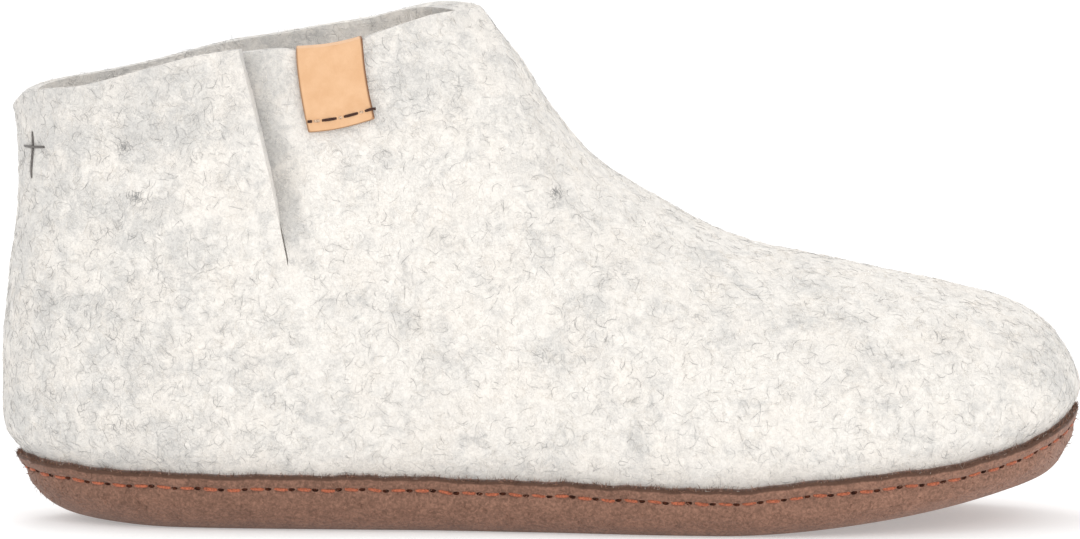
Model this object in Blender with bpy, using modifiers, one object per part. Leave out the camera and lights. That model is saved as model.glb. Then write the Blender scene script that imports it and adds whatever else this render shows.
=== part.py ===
"""A felt ankle slipper, the right shoe of a pair.

The shoe stands on the floor with its toe towards +X, its inner side towards +Y and +Z up.
The origin is on the floor, half way along the shoe. All lengths are in metres.

The upper is one seamless shell of wool felt, cut with one slit in the outer side of its collar.
A suede sole is turned up round its foot, a felt insole lies in it, and a leather tab is
folded over the collar's outer side.
"""

import functools
import math

import bpy
import numpy as np

# Sizes of the whole shoe
SHOE_LENGTH = 0.270
BALL_WIDTH = 0.100
HEEL_WIDTH = 0.071

# Heights of the top line above the floor
TOE_HEIGHT = 0.0568
INSTEP_HEIGHT = 0.0725
COLLAR_FRONT_HEIGHT = 0.1286
COLLAR_BACK_HEIGHT = 0.1042

# The collar's opening, measured over the felt
COLLAR_LENGTH = 0.1175
COLLAR_WIDTH = 0.0650
COLLAR_BACK_INSET = 0.0028

# The felt, its fullness at the side and how its lower edge is rounded
FELT_WALL = 0.0040
FELT_BULGE = 0.0100
EDGE_TUCK = 0.0050
EDGE_RADIUS = 0.0060

# The suede holds the felt in, and the felt swells over its lip
LIP_PINCH = 0.0017
LIP_PINCH_HEIGHT = 0.0060

# The slit in the outer side of the collar, where the felt behind it lies over the felt in front
SLIT_LENGTH = 0.0530
SLIT_GAP = 0.0004
SLIT_OVERLAP = 0.0035
SLIT_DIP = 0.0012

# The suede sole
SOLE_HEIGHT = 0.0145
SOLE_BASE = 0.0042
SUEDE_WALL = 0.0018
SUEDE_FULLNESS = 0.0009
LIP_FLARE = 0.0003
SEAM_BELOW_LIP = 0.0031
SEAM_WIDTH = 0.0016
SEAM_DEPTH = 0.0004
TOE_SPRING = 0.0135
TOE_SPRING_LENGTH = 0.0900
HEEL_SPRING = 0.0045
HEEL_SPRING_LENGTH = 0.0450

# The insole
INSOLE_THICKNESS = 0.0030
INSOLE_CLEARANCE = 0.0014

# The leather tab
TAB_WIDTH = 0.0165
TAB_DROP = 0.0203
TAB_THICKNESS = 0.0014
TAB_FROM_COLLAR_FRONT = 0.0375
TAB_LEAN = 0.0031

# The gap between pieces that touch
FIT_GAP = 0.0003

# Fineness of the meshes
COLUMNS_PER_STATION = 2
EDGE_ROWS = 3
ROWS_UNDER_SLIT = 6
ROWS_BESIDE_SLIT = 6

# The stations run along each side from the toe to the heel.
# along: place along the shoe, 0 at the heel and 1 at the toe
# outer, inner: half widths, as shares of the shoe's width there
# tuck: how far the felt turns in above its lower edge, as a share of EDGE_TUCK
# under, lift: how far the lower edge is rounded inwards and upwards, as shares of EDGE_RADIUS
# rise, bulge: height and fullness of the lower side, as shares of the wall's height and FELT_BULGE
# fan, reach, lean: how the wall leaves the top line, as a turn towards the side in degrees,
#   a share of the way across or down, and a lean outwards
# lip: height of the suede over the floor side of the sole, as a share of SOLE_HEIGHT
STATIONS = (
    ("along", "outer", "inner", "tuck", "under", "lift", "rise", "bulge", "fan", "reach", "lean", "lip"),
    (0.9986, -0.030, 0.030, 0.54, 1.00, 0.85, 0.42, 0.68, 0, 0.745, 0.00, 1.05),
    (0.985, 0.145, 0.200, 0.53, 1.00, 0.85, 0.42, 0.73, 34, 0.725, 0.00, 0.93),
    (0.950, 0.275, 0.335, 0.50, 1.00, 0.85, 0.40, 0.82, 57, 0.68, 0.00, 0.81),
    (0.895, 0.385, 0.433, 0.50, 1.00, 0.85, 0.40, 0.90, 72, 0.62, 0.00, 0.78),
    (0.825, 0.458, 0.488, 0.52, 1.00, 0.88, 0.42, 0.97, 82, 0.58, 0.00, 0.86),
    (0.745, 0.495, 0.499, 0.52, 1.00, 0.90, 0.44, 1.02, 88, 0.56, 0.00, 0.92),
    (0.670, 0.497, 0.458, 0.52, 1.00, 0.90, 0.45, 1.02, 90, 0.54, 0.00, 0.87),
    (0.610, 0.487, 0.419, 0.52, 1.00, 0.90, 0.43, 0.98, 88, 0.52, 0.00, 0.89),
    (0.560, 0.480, 0.398, 0.52, 1.00, 0.90, 0.40, 0.93, 82, 0.48, 0.00, 0.91),
    (0.510, 0.477, 0.388, 0.56, 1.00, 0.90, 0.37, 0.84, 72, 0.42, 0.00, 0.94),
    (0.460, 0.485, 0.397, 0.60, 1.00, 0.95, 0.33, 0.75, 56, 0.35, 0.00, 0.95),
    (0.400, 0.498, 0.422, 0.65, 1.05, 1.00, 0.31, 0.67, 32, 0.32, 0.02, 0.98),
    (0.345, 0.515, 0.457, 0.68, 1.10, 1.00, 0.30, 0.61, 2, 0.32, 0.04, 1.00),
    (0.295, 0.515, 0.478, 0.72, 1.15, 1.05, 0.28, 0.61, -14, 0.32, 0.04, 1.00),
    (0.210, 0.505, 0.487, 0.80, 1.35, 1.15, 0.25, 0.63, -8, 0.32, 0.02, 1.01),
    (0.120, 0.460, 0.450, 0.92, 1.65, 1.30, 0.21, 0.68, 0, 0.33, -0.03, 1.03),
    (0.050, 0.335, 0.335, 0.91, 1.95, 1.50, 0.20, 0.74, 0, 0.35, -0.10, 0.97),
    (0.013, 0.183, 0.183, 0.93, 2.15, 1.60, 0.19, 0.75, 0, 0.36, -0.15, 0.93),
    (0.000, 0.000, 0.000, 0.93, 2.20, 1.62, 0.19, 0.75, 0, 0.36, -0.17, 0.90),
)

# The ridge over the foot, from the toe to the front of the collar.
# along: as above
# vamp: share of the climb from TOE_HEIGHT to INSTEP_HEIGHT
# throat: share of the climb from INSTEP_HEIGHT to COLLAR_FRONT_HEIGHT
RIDGE = (
    ("along", "vamp", "throat"),
    (0.9190, 0.00, 0.000),
    (0.9120, 0.03, 0.000),
    (0.8930, 0.11, 0.000),
    (0.8550, 0.26, 0.000),
    (0.8000, 0.47, 0.000),
    (0.7370, 0.69, 0.000),
    (0.6700, 1.00, 0.000),
    (0.6080, 1.00, 0.158),
    (0.5500, 1.00, 0.342),
    (0.4960, 1.00, 0.655),
    (0.4430, 1.00, 1.000),
)

# The rim of the collar, from its front to its back.
# back: place, 0 at the front and 1 at the back
# half: half width, as a share of COLLAR_WIDTH
# outer, inner: height on each side, 0 at COLLAR_BACK_HEIGHT and 1 at COLLAR_FRONT_HEIGHT
RIM = (
    ("back", "half", "outer", "inner"),
    (0.000, 0.000, 1.000, 1.000),
    (0.130, 0.360, 0.930, 0.985),
    (0.312, 0.468, 0.695, 0.802),
    (0.510, 0.500, 0.650, 0.636),
    (0.690, 0.485, 0.477, 0.414),
    (0.850, 0.390, 0.265, 0.267),
    (0.945, 0.240, 0.193, 0.193),
    (0.986, 0.120, 0.090, 0.090),
    (1.000, 0.000, 0.000, 0.000),
)
PEAK_STATION = len(RIDGE) - 2
HEEL_STATION = len(STATIONS) - 2
SLIT_STATION = PEAK_STATION + 3
ALL_STATIONS = 2 * HEEL_STATION


def column_of(table, name):
    """One named column of a table, as an array."""
    place = table[0].index(name)
    return np.array([row[place] for row in table[1:]], float)


def unit(vectors):
    """The vectors, each with length one."""
    return vectors / np.linalg.norm(vectors, axis=-1, keepdims=True)


def smooth(share):
    """An even rise from 0 to 1 that starts and ends level."""
    share = np.clip(share, 0, 1)
    return share * share * (3 - 2 * share)


@functools.cache
def slopes_from_changes(count, closed):
    """The matrix that turns the changes between values into the slopes of a smooth curve."""
    system = 4 * np.eye(count) + np.eye(count, k=1) + np.eye(count, k=-1)
    if closed:
        system[0, -1] = system[-1, 0] = 1
    else:
        system[0, 0] = system[-1, -1] = 2
    return np.linalg.inv(system)


def spline(values, at, closed=True):
    """A smooth curve through the values, which stand at 0, 1, 2 and so on."""
    count = len(values)
    change = 3 * (np.roll(values, -1, 0) - np.roll(values, 1, 0))
    if not closed:
        change[0] = 3 * (values[1] - values[0])
        change[-1] = 3 * (values[-1] - values[-2])
    slopes = slopes_from_changes(count, closed) @ change
    first = np.floor(at + 1e-9).astype(int)
    part = at - first
    part = part.reshape(part.shape + (1,) * (values.ndim - 1))
    last, first = (first + 1) % count, first % count
    bend = part * part * (3 - 2 * part)
    leave, arrive = part * (1 - part) ** 2, part * part * (part - 1)
    return values[first] * (1 - bend) + values[last] * bend + slopes[first] * leave + slopes[last] * arrive


def round_the_shoe(outer, inner=None):
    """The values of the outer side from toe to heel, then of the inner side back to the toe."""
    inner = outer if inner is None else inner
    return np.concatenate([outer, inner[-2:0:-1]])


def one_side(at):
    """Places round the shoe as places on one side, 0 at the toe and HEEL_STATION at the heel."""
    at = np.mod(at, ALL_STATIONS)
    return np.minimum(at, ALL_STATIONS - at)


def side_sign(at):
    """-1 on the outer side, +1 on the inner side, 0 on the middle line."""
    at = np.mod(at, ALL_STATIONS)
    return np.sign(at - HEEL_STATION) * (at > 1e-9)


def station_values(name, at):
    """A column of STATIONS, smoothed round the shoe, as a column of numbers."""
    return spline(round_the_shoe(column_of(STATIONS, name)), at)[:, None]


def flat_points(along, across, height):
    """Points from three arrays."""
    return np.column_stack([along, across, height])


def outline(at):
    """The shoe's outline seen from above, as points with no height."""
    along = column_of(STATIONS, "along")
    width = HEEL_WIDTH + (BALL_WIDTH - HEEL_WIDTH) * smooth((along - 0.30) / 0.36)
    outer, inner = -column_of(STATIONS, "outer") * width, column_of(STATIONS, "inner") * width
    places = (along - 0.5) * SHOE_LENGTH
    return spline(flat_points(round_the_shoe(places), round_the_shoe(outer, inner), 0 * at_stations()), at)


def at_stations():
    """The places of the stations round the shoe."""
    return np.arange(ALL_STATIONS, dtype=float)


def outline_normal(at):
    """The level direction out of the outline."""
    run = unit(outline(at + 0.01) - outline(at - 0.01))
    return flat_points(-run[:, 1], run[:, 0], 0 * at)


def underside(x):
    """Height of the sole's underside: flat, with a rise at the toe and a small one at the heel."""
    toe = np.clip((x - SHOE_LENGTH / 2 + TOE_SPRING_LENGTH) / TOE_SPRING_LENGTH, 0, None)
    heel = np.clip((-SHOE_LENGTH / 2 + HEEL_SPRING_LENGTH - x) / HEEL_SPRING_LENGTH, 0, None)
    return TOE_SPRING * toe ** 1.7 + HEEL_SPRING * heel ** 2


def ridge_line(at):
    """The ridge over the foot, for places from 0 to PEAK_STATION."""
    throat = column_of(RIDGE, "throat")
    height = TOE_HEIGHT + (INSTEP_HEIGHT - TOE_HEIGHT) * column_of(RIDGE, "vamp")
    height = height + (COLLAR_FRONT_HEIGHT - INSTEP_HEIGHT) * throat
    along = (column_of(RIDGE, "along") - 0.5) * SHOE_LENGTH
    front = -SHOE_LENGTH / 2 + COLLAR_BACK_INSET + COLLAR_LENGTH
    along = along + (front - along[-1]) * throat
    return spline(flat_points(along, 0 * along, height), np.clip(at, 0, PEAK_STATION), closed=False)


def rim_line(at):
    """The rim of the collar: it starts at PEAK_STATION, goes round the back and returns."""
    along = -SHOE_LENGTH / 2 + COLLAR_BACK_INSET + (1 - column_of(RIM, "back")) * COLLAR_LENGTH
    half = column_of(RIM, "half") * COLLAR_WIDTH
    height = round_the_shoe(column_of(RIM, "outer"), column_of(RIM, "inner"))
    height = COLLAR_BACK_HEIGHT + height * (COLLAR_FRONT_HEIGHT - COLLAR_BACK_HEIGHT)
    points = flat_points(round_the_shoe(along), round_the_shoe(-half, half), height)
    return spline(points, at - PEAK_STATION)


def top_line(at):
    """Where the wall ends: on the ridge in front of the collar, on the rim behind."""
    on_ridge = one_side(at)[:, None] <= PEAK_STATION
    return np.where(on_ridge, ridge_line(one_side(at)), rim_line(np.mod(at, ALL_STATIONS)))


def top_direction(at):
    """The way in which the wall leaves the top line.

    In front of the collar it turns from the run of the ridge towards the side, so that both
    sides meet smoothly. Behind it, it turns from straight down towards the run of the rim.
    """
    place, side, step = one_side(at), side_sign(at)[:, None], 0.01
    ridge = np.clip(place, step, PEAK_STATION)
    down_ridge = unit(ridge_line(ridge - step) - ridge_line(ridge))
    down_wall = outline_normal(at) * station_values("lean", at) + np.array([0.0, 0.0, -1.0])
    back = np.clip((place - PEAK_STATION) / 3, 0, 1)[:, None]
    down = unit(down_ridge * (1 - back) + down_wall * back)
    rim = np.mod(at, ALL_STATIONS)
    along_rim = unit(rim_line(rim + step) - rim_line(rim - step)) * -side
    sideways = np.where(place[:, None] <= PEAK_STATION, side * np.array([0.0, 1.0, 0.0]), along_rim)
    fan = np.radians(station_values("fan", at))
    return unit(np.cos(fan) * down + np.sin(fan) * sideways)


def wall_controls(at):
    """The points that shape each column of felt, from its lower edge to the top line."""
    plan, out, top = outline(at), outline_normal(at), top_line(at)
    foot = plan - out * station_values("tuck", at) * EDGE_TUCK
    under = foot - out * station_values("under", at) * EDGE_RADIUS
    under[:, 2] = underside(under[:, 0]) + SOLE_BASE
    foot[:, 2] = under[:, 2] + station_values("lift", at)[:, 0] * EDGE_RADIUS
    tall = top[:, 2] - foot[:, 2]
    belly = plan + out * station_values("bulge", at) * FELT_BULGE
    belly[:, 2] = foot[:, 2] + station_values("rise", at)[:, 0] * tall
    across = np.linalg.norm((top - plan)[:, :2], axis=1)
    behind = np.clip((one_side(at) - PEAK_STATION + 3) / 3, 0, 1)
    reach = station_values("reach", at) * (across * (1 - behind) + tall * behind)[:, None]
    return under, foot, belly, top + top_direction(at) * reach, top


def bezier(controls, part):
    """A cubic curve through four control points."""
    first, second, third, last = (points[:, None] for points in controls)
    part, rest = part[..., None], 1 - part[..., None]
    return first * rest ** 3 + 3 * second * rest ** 2 * part + 3 * third * rest * part ** 2 + last * part ** 3


def lip_height(at):
    """Height of the suede's upper edge."""
    return underside(outline(at)[:, 0]) + station_values("lip", at)[:, 0] * SOLE_HEIGHT


def felt_skin(at, parts):
    """Points on the outside of the felt. Parts from -1 to 0 round its lower edge, 0 to 1 climb the wall."""
    under, foot, belly, shoulder, top = wall_controls(at)
    across = np.linalg.norm((foot - under)[:, :2], axis=1)[:, None]
    lift = (foot - under)[:, 2:]
    turn = (under, under + outline_normal(at) * across * 0.6, foot - unit(belly - foot) * lift * 0.5, foot)
    edge = bezier(turn, np.clip(parts, -1, 0) + 1)
    wall = bezier((foot, belly, shoulder, top), np.clip(parts, 0, 1))
    points = np.where((parts < 0)[..., None], edge, wall)
    held = 1 - smooth((points[..., 2] - lip_height(at)[:, None]) / LIP_PINCH_HEIGHT)
    return points - outline_normal(at)[:, None] * held[..., None] * LIP_PINCH


def felt_layer(at, parts, depth):
    """Points at a depth under the outside of the felt. A negative depth lies outside it."""
    parts = np.broadcast_to(parts, (len(at), np.shape(parts)[-1]))
    step = 0.004
    low, high = np.maximum(parts - step, -1), np.minimum(parts + step, 1)
    climb = felt_skin(at, high) - felt_skin(at, low)
    run = felt_skin(at + step, parts) - felt_skin(at - step, parts)
    depth = np.asarray(depth)[..., None]
    return felt_skin(at, parts) - unit(np.cross(climb, run)) * depth


def part_at_height(at, height, depth):
    """The part of each column at which that layer of the felt reaches a height."""
    low, high = np.full((len(at), 1), -1.0), np.full((len(at), 1), 1.0)
    for _ in range(24):
        middle = (low + high) / 2
        below = felt_layer(at, middle, depth)[:, :, 2] < height[:, None]
        low, high = np.where(below, middle, low), np.where(below, high, middle)
    return middle


def slit_end():
    """The part of the slit's column at which the slit ends."""
    parts = np.linspace(0, 1, 400)
    points = felt_skin(np.array([float(SLIT_STATION)]), parts[None])[0]
    steps = np.linalg.norm(np.diff(points, axis=0), axis=1)
    from_top = np.append(np.cumsum(steps[::-1])[::-1], 0)
    return float(np.interp(-SLIT_LENGTH, -from_top, parts))


def slit_shares(at, parts):
    """How close each point of the front flap is to the slit, and how far up the slit it is."""
    near = smooth((at - SLIT_STATION) / 0.55 + 1)[:, None] * (at <= SLIT_STATION)[:, None]
    end = slit_end()
    return near, np.clip((parts - end) / (1 - end), 0, 1)


def front_flap(at, parts):
    """The felt in front of the slit: it sinks behind the felt that lies over it."""
    near, up = slit_shares(at, parts)
    sunk = near * smooth(up / 0.45) * (FELT_WALL + SLIT_GAP)
    apart = near * (up > 0) * SLIT_GAP - near * smooth((up - 0.45) / 0.55) * (SLIT_GAP + SLIT_OVERLAP)
    points = felt_layer(at, parts, sunk)
    points[..., 0] += apart
    points[..., 2] -= near * up * SLIT_DIP
    return points


class Mesh:
    """Vertices and faces of one piece, gathered before the object is made."""

    def __init__(self):
        self.points, self.faces = [], []

    def add(self, points):
        """Adds points and returns their numbers, in the same layout."""
        points = np.asarray(points)
        numbers = len(self.points) + np.arange(points[..., 0].size)
        self.points.extend(map(tuple, points.reshape(-1, 3)))
        return numbers.reshape(points.shape[:-1])

    def face(self, *numbers):
        """Adds a face, leaving out corners that are given twice."""
        corners = [int(n) for k, n in enumerate(numbers) if n != numbers[k - 1]]
        if len(set(corners)) > 2:
            self.faces.append(corners)

    def between(self, lower, upper, closed=True):
        """Faces between two rows of points."""
        for k in range(-1 if closed else 0, len(lower) - 1):
            self.face(lower[k], lower[k + 1], upper[k + 1], upper[k])

    def across(self, row, upwards):
        """Faces between the two sides of a closed row that starts at the toe."""
        half = len(row) // 2
        for k in range(half):
            corners = (row[k], row[k + 1], row[-k - 1], row[-k])
            self.face(*(corners[::-1] if upwards else corners))

    def make(self, name, collection, colour, roughness):
        """The object, smooth shaded, with a material of its own."""
        mesh = bpy.data.meshes.new(name)
        mesh.from_pydata(self.points, [], self.faces)
        mesh.shade_smooth()
        piece = bpy.data.objects.new(name, mesh)
        collection.objects.link(piece)
        material = bpy.data.materials.new(name)
        material.use_nodes = True
        shader = material.node_tree.nodes["Principled BSDF"]
        shader.inputs["Base Color"].default_value = (*colour, 1.0)
        shader.inputs["Roughness"].default_value = roughness
        mesh.materials.append(material)
        return piece


def thicken(piece, thickness, side):
    """Gives a sheet its thickness, on its inside for side -1 and on its outside for side 1."""
    wall = piece.modifiers.new("Wall", "SOLIDIFY")
    wall.thickness = thickness
    wall.offset = side
    wall.use_even_offset = True


def shoe_columns():
    """The places of the columns, evenly between the stations, with more at the peak and the slit."""
    places = np.arange(ALL_STATIONS * COLUMNS_PER_STATION) / COLUMNS_PER_STATION
    peak = PEAK_STATION + np.array([-0.25, 0.25, 0.75, 1.25])
    slit = SLIT_STATION + np.array([-1.25, -0.75, -0.625, -0.25, 0.25])
    return np.sort(np.concatenate([places, peak, slit, ALL_STATIONS - peak, ALL_STATIONS - slit]))


def felt_rows(at):
    """The parts of each column at which the felt has its rows. One row follows the suede's lip."""
    edge, end = np.linspace(-1, 0, EDGE_ROWS + 1), slit_end()
    lip = part_at_height(at, lip_height(at), 0.0)
    lower = lip + (end - lip) * np.linspace(0, 1, ROWS_UNDER_SLIT + 1)
    beside = np.linspace(end, 1, ROWS_BESIDE_SLIT + 1)[1:]
    return np.hstack([np.tile(edge, (len(at), 1)), lower, np.tile(beside, (len(at), 1))])


def make_upper(collection):
    """The felt: one sheet over the foot and under it, thickened inwards, with the slit cut in it."""
    mesh, at = Mesh(), shoe_columns()
    parts = felt_rows(at)
    grid = mesh.add(felt_layer(at, parts, 0.0))
    on_ridge = np.flatnonzero((one_side(at) <= PEAK_STATION) & (side_sign(at) > 0))
    grid[on_ridge, -1] = grid[-on_ridge, -1]
    slit = int(np.flatnonzero(at == SLIT_STATION)[0])
    flap = front_flap(at, parts)
    for numbers, points in zip(grid[:slit].ravel(), flap[:slit].reshape(-1, 3)):
        mesh.points[numbers] = tuple(points)
    front_edge = grid[slit].copy()
    above = slice(-ROWS_BESIDE_SLIT, None)
    front_edge[above] = mesh.add(flap[slit, above])
    columns = [*grid[: slit + 1], *grid[slit:], grid[0]]
    columns[slit] = front_edge
    for k in range(len(columns) - 1):
        if k != slit:
            mesh.between(columns[k], columns[k + 1], closed=False)
    mesh.across(grid[:, 0], upwards=False)
    piece = mesh.make("upper", collection, (0.78, 0.75, 0.71), 0.95)
    thicken(piece, FELT_WALL, -1.0)
    return piece


def make_sole(collection):
    """The suede: up the inside of the felt's lower edge, over the lip and down the outside."""
    mesh, at = Mesh(), shoe_columns()
    lip = lip_height(at)
    inside = felt_layer(at, felt_rows(at)[:, : EDGE_ROWS + 2], -FIT_GAP)
    rows = [mesh.add(inside[:, k]) for k in range(inside.shape[1])]
    seam = SEAM_BELOW_LIP
    profile = (
        ("below", "proud"),
        (0.0, LIP_FLARE),
        (seam * 0.35, LIP_FLARE),
        (seam - SEAM_WIDTH / 2, 0.0),
        (seam, -SEAM_DEPTH),
        (seam + SEAM_WIDTH / 2, 0.0),
        (seam * 2.0, SUEDE_FULLNESS),
    )
    outer_edge = FIT_GAP + SUEDE_WALL
    for below, proud in zip(column_of(profile, "below"), column_of(profile, "proud")):
        part = part_at_height(at, lip - below, 0.0)
        rows.append(mesh.add(felt_layer(at, part, -outer_edge - proud)[:, 0]))
    for share in (0.3, 0.55, 0.78, 1.0):
        down = part * (1 - share) - share
        depth = outer_edge + SUEDE_FULLNESS + (SOLE_BASE - outer_edge - SUEDE_FULLNESS) * share ** 2
        rows.append(mesh.add(felt_layer(at, down, -depth)[:, 0]))
    for lower, upper in zip(rows, rows[1:]):
        mesh.between(lower, upper)
    mesh.across(rows[0], upwards=True)
    mesh.across(rows[-1], upwards=False)
    return mesh.make("sole", collection, (0.255, 0.135, 0.100), 0.9)


def make_insole(collection):
    """The footbed: it lies on the felt and follows the rounding of its lower edge."""
    mesh, at = Mesh(), shoe_columns()
    depth = FELT_WALL + INSOLE_CLEARANCE
    low = felt_layer(at, np.full((len(at), 1), -1.0), FELT_WALL + FIT_GAP)[:, 0]
    rows = [mesh.add(low)]
    for share in (0.35, 1.0):
        part = part_at_height(at, low[:, 2] + share * INSOLE_THICKNESS, depth)
        rows.append(mesh.add(felt_layer(at, part, depth)[:, 0]))
    for lower, upper in zip(rows, rows[1:]):
        mesh.between(upper, lower)
    mesh.across(rows[0], upwards=False)
    mesh.across(rows[-1], upwards=True)
    return mesh.make("insole", collection, (0.62, 0.60, 0.57), 0.95)


def on_outer_side(x, below_rim, depth):
    """Points on a layer of the outer side's felt, at places along the shoe and depths below the rim."""
    places = np.linspace(PEAK_STATION, HEEL_STATION, 200)
    at = np.interp(-x, -rim_line(places)[:, 0], places)
    rim = rim_line(at)[:, 2]
    for _ in range(5):
        part = part_at_height(at, rim - below_rim, depth)
        here = felt_layer(at, part, depth)[:, 0, 0]
        ahead = felt_layer(at + 0.05, part, depth)[:, 0, 0]
        at = at + 0.05 * (x - here) / (ahead - here)
    return felt_layer(at, part_at_height(at, rim - below_rim, depth), depth)[:, 0]


def make_tab(collection):
    """The strap: up the outside of the collar, over its rim and down the inside."""
    mesh = Mesh()
    front = -SHOE_LENGTH / 2 + COLLAR_BACK_INSET + COLLAR_LENGTH - TAB_FROM_COLLAR_FRONT
    across = np.linspace(-TAB_WIDTH / 2, TAB_WIDTH / 2, 5)
    drops = np.linspace(TAB_DROP, 0.0012, 8)
    rows = []
    for depth, sequence in ((-FIT_GAP, drops), (FELT_WALL + FIT_GAP, drops[::-1])):
        for drop in sequence:
            lean = TAB_LEAN * (drop / TAB_DROP) ** 1.6
            rows.append(on_outer_side(front + across + lean, np.full(5, drop), depth))
    outer, inner = rows[len(drops) - 1], rows[len(drops)]
    over = []
    for share in (0.0, 0.25, 0.5, 0.75, 1.0):
        point = outer * (1 - share) + inner * share
        arch = drops[-1] + FIT_GAP + 0.0002 * math.sin(math.pi * share)
        over.append(point + np.array([0.0, 0.0, arch]))
    rows[len(drops):len(drops)] = over
    numbers = [mesh.add(points) for points in rows]
    for lower, upper in zip(numbers, numbers[1:]):
        mesh.between(lower, upper, closed=False)
    piece = mesh.make("tab", collection, (0.82, 0.49, 0.24), 0.55)
    thicken(piece, TAB_THICKNESS, 1.0)
    return piece


def main():
    """Builds the slipper in a collection of its own."""
    for old in list(bpy.data.objects):
        bpy.data.objects.remove(old, do_unlink=True)
    collection = bpy.data.collections.new("felt_slipper")
    bpy.context.scene.collection.children.link(collection)
    make_upper(collection)
    make_sole(collection)
    make_insole(collection)
    make_tab(collection)


main()
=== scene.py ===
"""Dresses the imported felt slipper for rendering.

The felt, the suede and the leather tab are worked out again from the shoe's own sections on
finer grids, and get their stitches, fibres and finishes here. The insole keeps its solid.
Lengths are in metres. The toe points along +X, the inner side of the foot along +Y, and Z is up.
"""

import bpy
import numpy as np
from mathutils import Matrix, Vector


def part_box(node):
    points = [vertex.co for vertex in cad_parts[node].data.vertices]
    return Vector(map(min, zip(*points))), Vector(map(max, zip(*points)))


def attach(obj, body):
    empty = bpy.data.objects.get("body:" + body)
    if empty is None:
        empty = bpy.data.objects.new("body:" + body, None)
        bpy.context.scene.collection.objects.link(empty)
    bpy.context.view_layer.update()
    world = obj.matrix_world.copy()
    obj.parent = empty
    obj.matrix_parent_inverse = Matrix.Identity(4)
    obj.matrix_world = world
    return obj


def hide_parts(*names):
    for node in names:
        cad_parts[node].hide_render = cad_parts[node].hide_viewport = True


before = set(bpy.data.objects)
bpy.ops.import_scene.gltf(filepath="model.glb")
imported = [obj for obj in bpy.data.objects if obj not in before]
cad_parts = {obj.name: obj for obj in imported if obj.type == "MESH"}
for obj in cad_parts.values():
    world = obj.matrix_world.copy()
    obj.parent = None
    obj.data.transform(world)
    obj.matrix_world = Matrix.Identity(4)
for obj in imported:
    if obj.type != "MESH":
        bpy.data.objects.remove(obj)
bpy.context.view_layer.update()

bl_info = {
    "name": "Felt Slipper",
    "version": (1, 0, 0),
    "blender": (4, 5, 0),
    "location": "View3D > Sidebar > Felt Slipper",
    "description": "Builds a felt slipper with a sewn suede sole",
    "category": "Add Mesh",
}

# The shoe's sizes, as in the solids
SHOE_LENGTH = 0.270
BALL_WIDTH = 0.100
HEEL_WIDTH = 0.071
TOE_HEIGHT = 0.0568
INSTEP_HEIGHT = 0.0725
COLLAR_FRONT_HEIGHT = 0.1286
COLLAR_BACK_HEIGHT = 0.1042
COLLAR_LENGTH = 0.1175
COLLAR_WIDTH = 0.0650
COLLAR_BACK_INSET = 0.0028
FELT_WALL = 0.0040
FELT_BULGE = 0.0100
EDGE_TUCK = 0.0050
EDGE_RADIUS = 0.0060
LIP_PINCH = 0.0017
LIP_PINCH_HEIGHT = 0.0060
SLIT_LENGTH = 0.0548
SLIT_GAP = 0.0004
SLIT_OVERLAP = 0.0035
SLIT_DIP = 0.0012
SOLE_HEIGHT = 0.0145
SOLE_BASE = 0.0042
SUEDE_WALL = 0.0018
SUEDE_FULLNESS = 0.0009
TOE_SPRING = 0.0135
TOE_SPRING_LENGTH = 0.0900
HEEL_SPRING = 0.0045
HEEL_SPRING_LENGTH = 0.0450
FIT_GAP = 0.0003

# Details of the felt and its slit. Spreads are counted in stations.
SLIT_SPREAD = 0.55
SLIT_CURL = 0.0014
SLIT_CURL_SPREAD = 0.25
RIM_ROUNDING = 0.0013
FELT_STEP = 0.1
FELT_ROWS = (6, 34, 30)
FIBRE_STEP = 0.2
FIBRE_ROWS = (1, 40, 30)
RIM_CROWDING = 4.0
LINING_FROM_HEIGHT = 0.070
LINING_SHARE = 0.30
RIM_SHARE = 0.55
CUT_ANGLE = np.radians(50)
FELT_LUMPS = (("size", "height", "seed"), (0.028, 0.00050, 3), (0.011, 0.00022, 4), (0.0048, 0.00012, 5))

# Details of the suede's lip and seam
LIP_FRAY = 0.00022
SUEDE_LUMPS = 0.00012
UNDERSIDE_LUMPS = 0.00015
SUEDE_STEP = 0.05
NAP_HAIRS = 7500
NAP_ON_EDGE = 0.66
STITCH_STEPS = 12
STITCH_REACH = 0.36
STITCH_RISE = 0.00050
STITCH_SUNK = 0.00036
THREAD_IN_GROOVE = 0.00040
HOLE_HALF_LENGTH = 0.00080
HOLE_HALF_WIDTH = 0.00056
HOLE_PROUD = 0.00010

# Details of the tab, its stitches and the heel's tack
TAB_LEAN = 0.0031
TAB_PRESS = 0.0013
TAB_PRESS_HALF = 0.0105
TAB_FOLD_RISE = 0.0010
TAB_FOLD_ARCH = 0.0003
TAB_CORNER_LIFT = 0.00025
TAB_BELLY = 0.00012
TAB_SEAM_UP = 0.0028
TAB_ROUNDING = 0.00035
TAB_THREAD_RADIUS = 0.00036
TACK_RADIUS = 0.00032

# The camera sees VIEW_WIDTH of the shoe's middle plane
VIEW_WIDTH = 0.27125
VIEW_MIDDLE = (-0.0001, 0.0628)
VIEW_TILT = np.radians(5.0)

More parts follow.
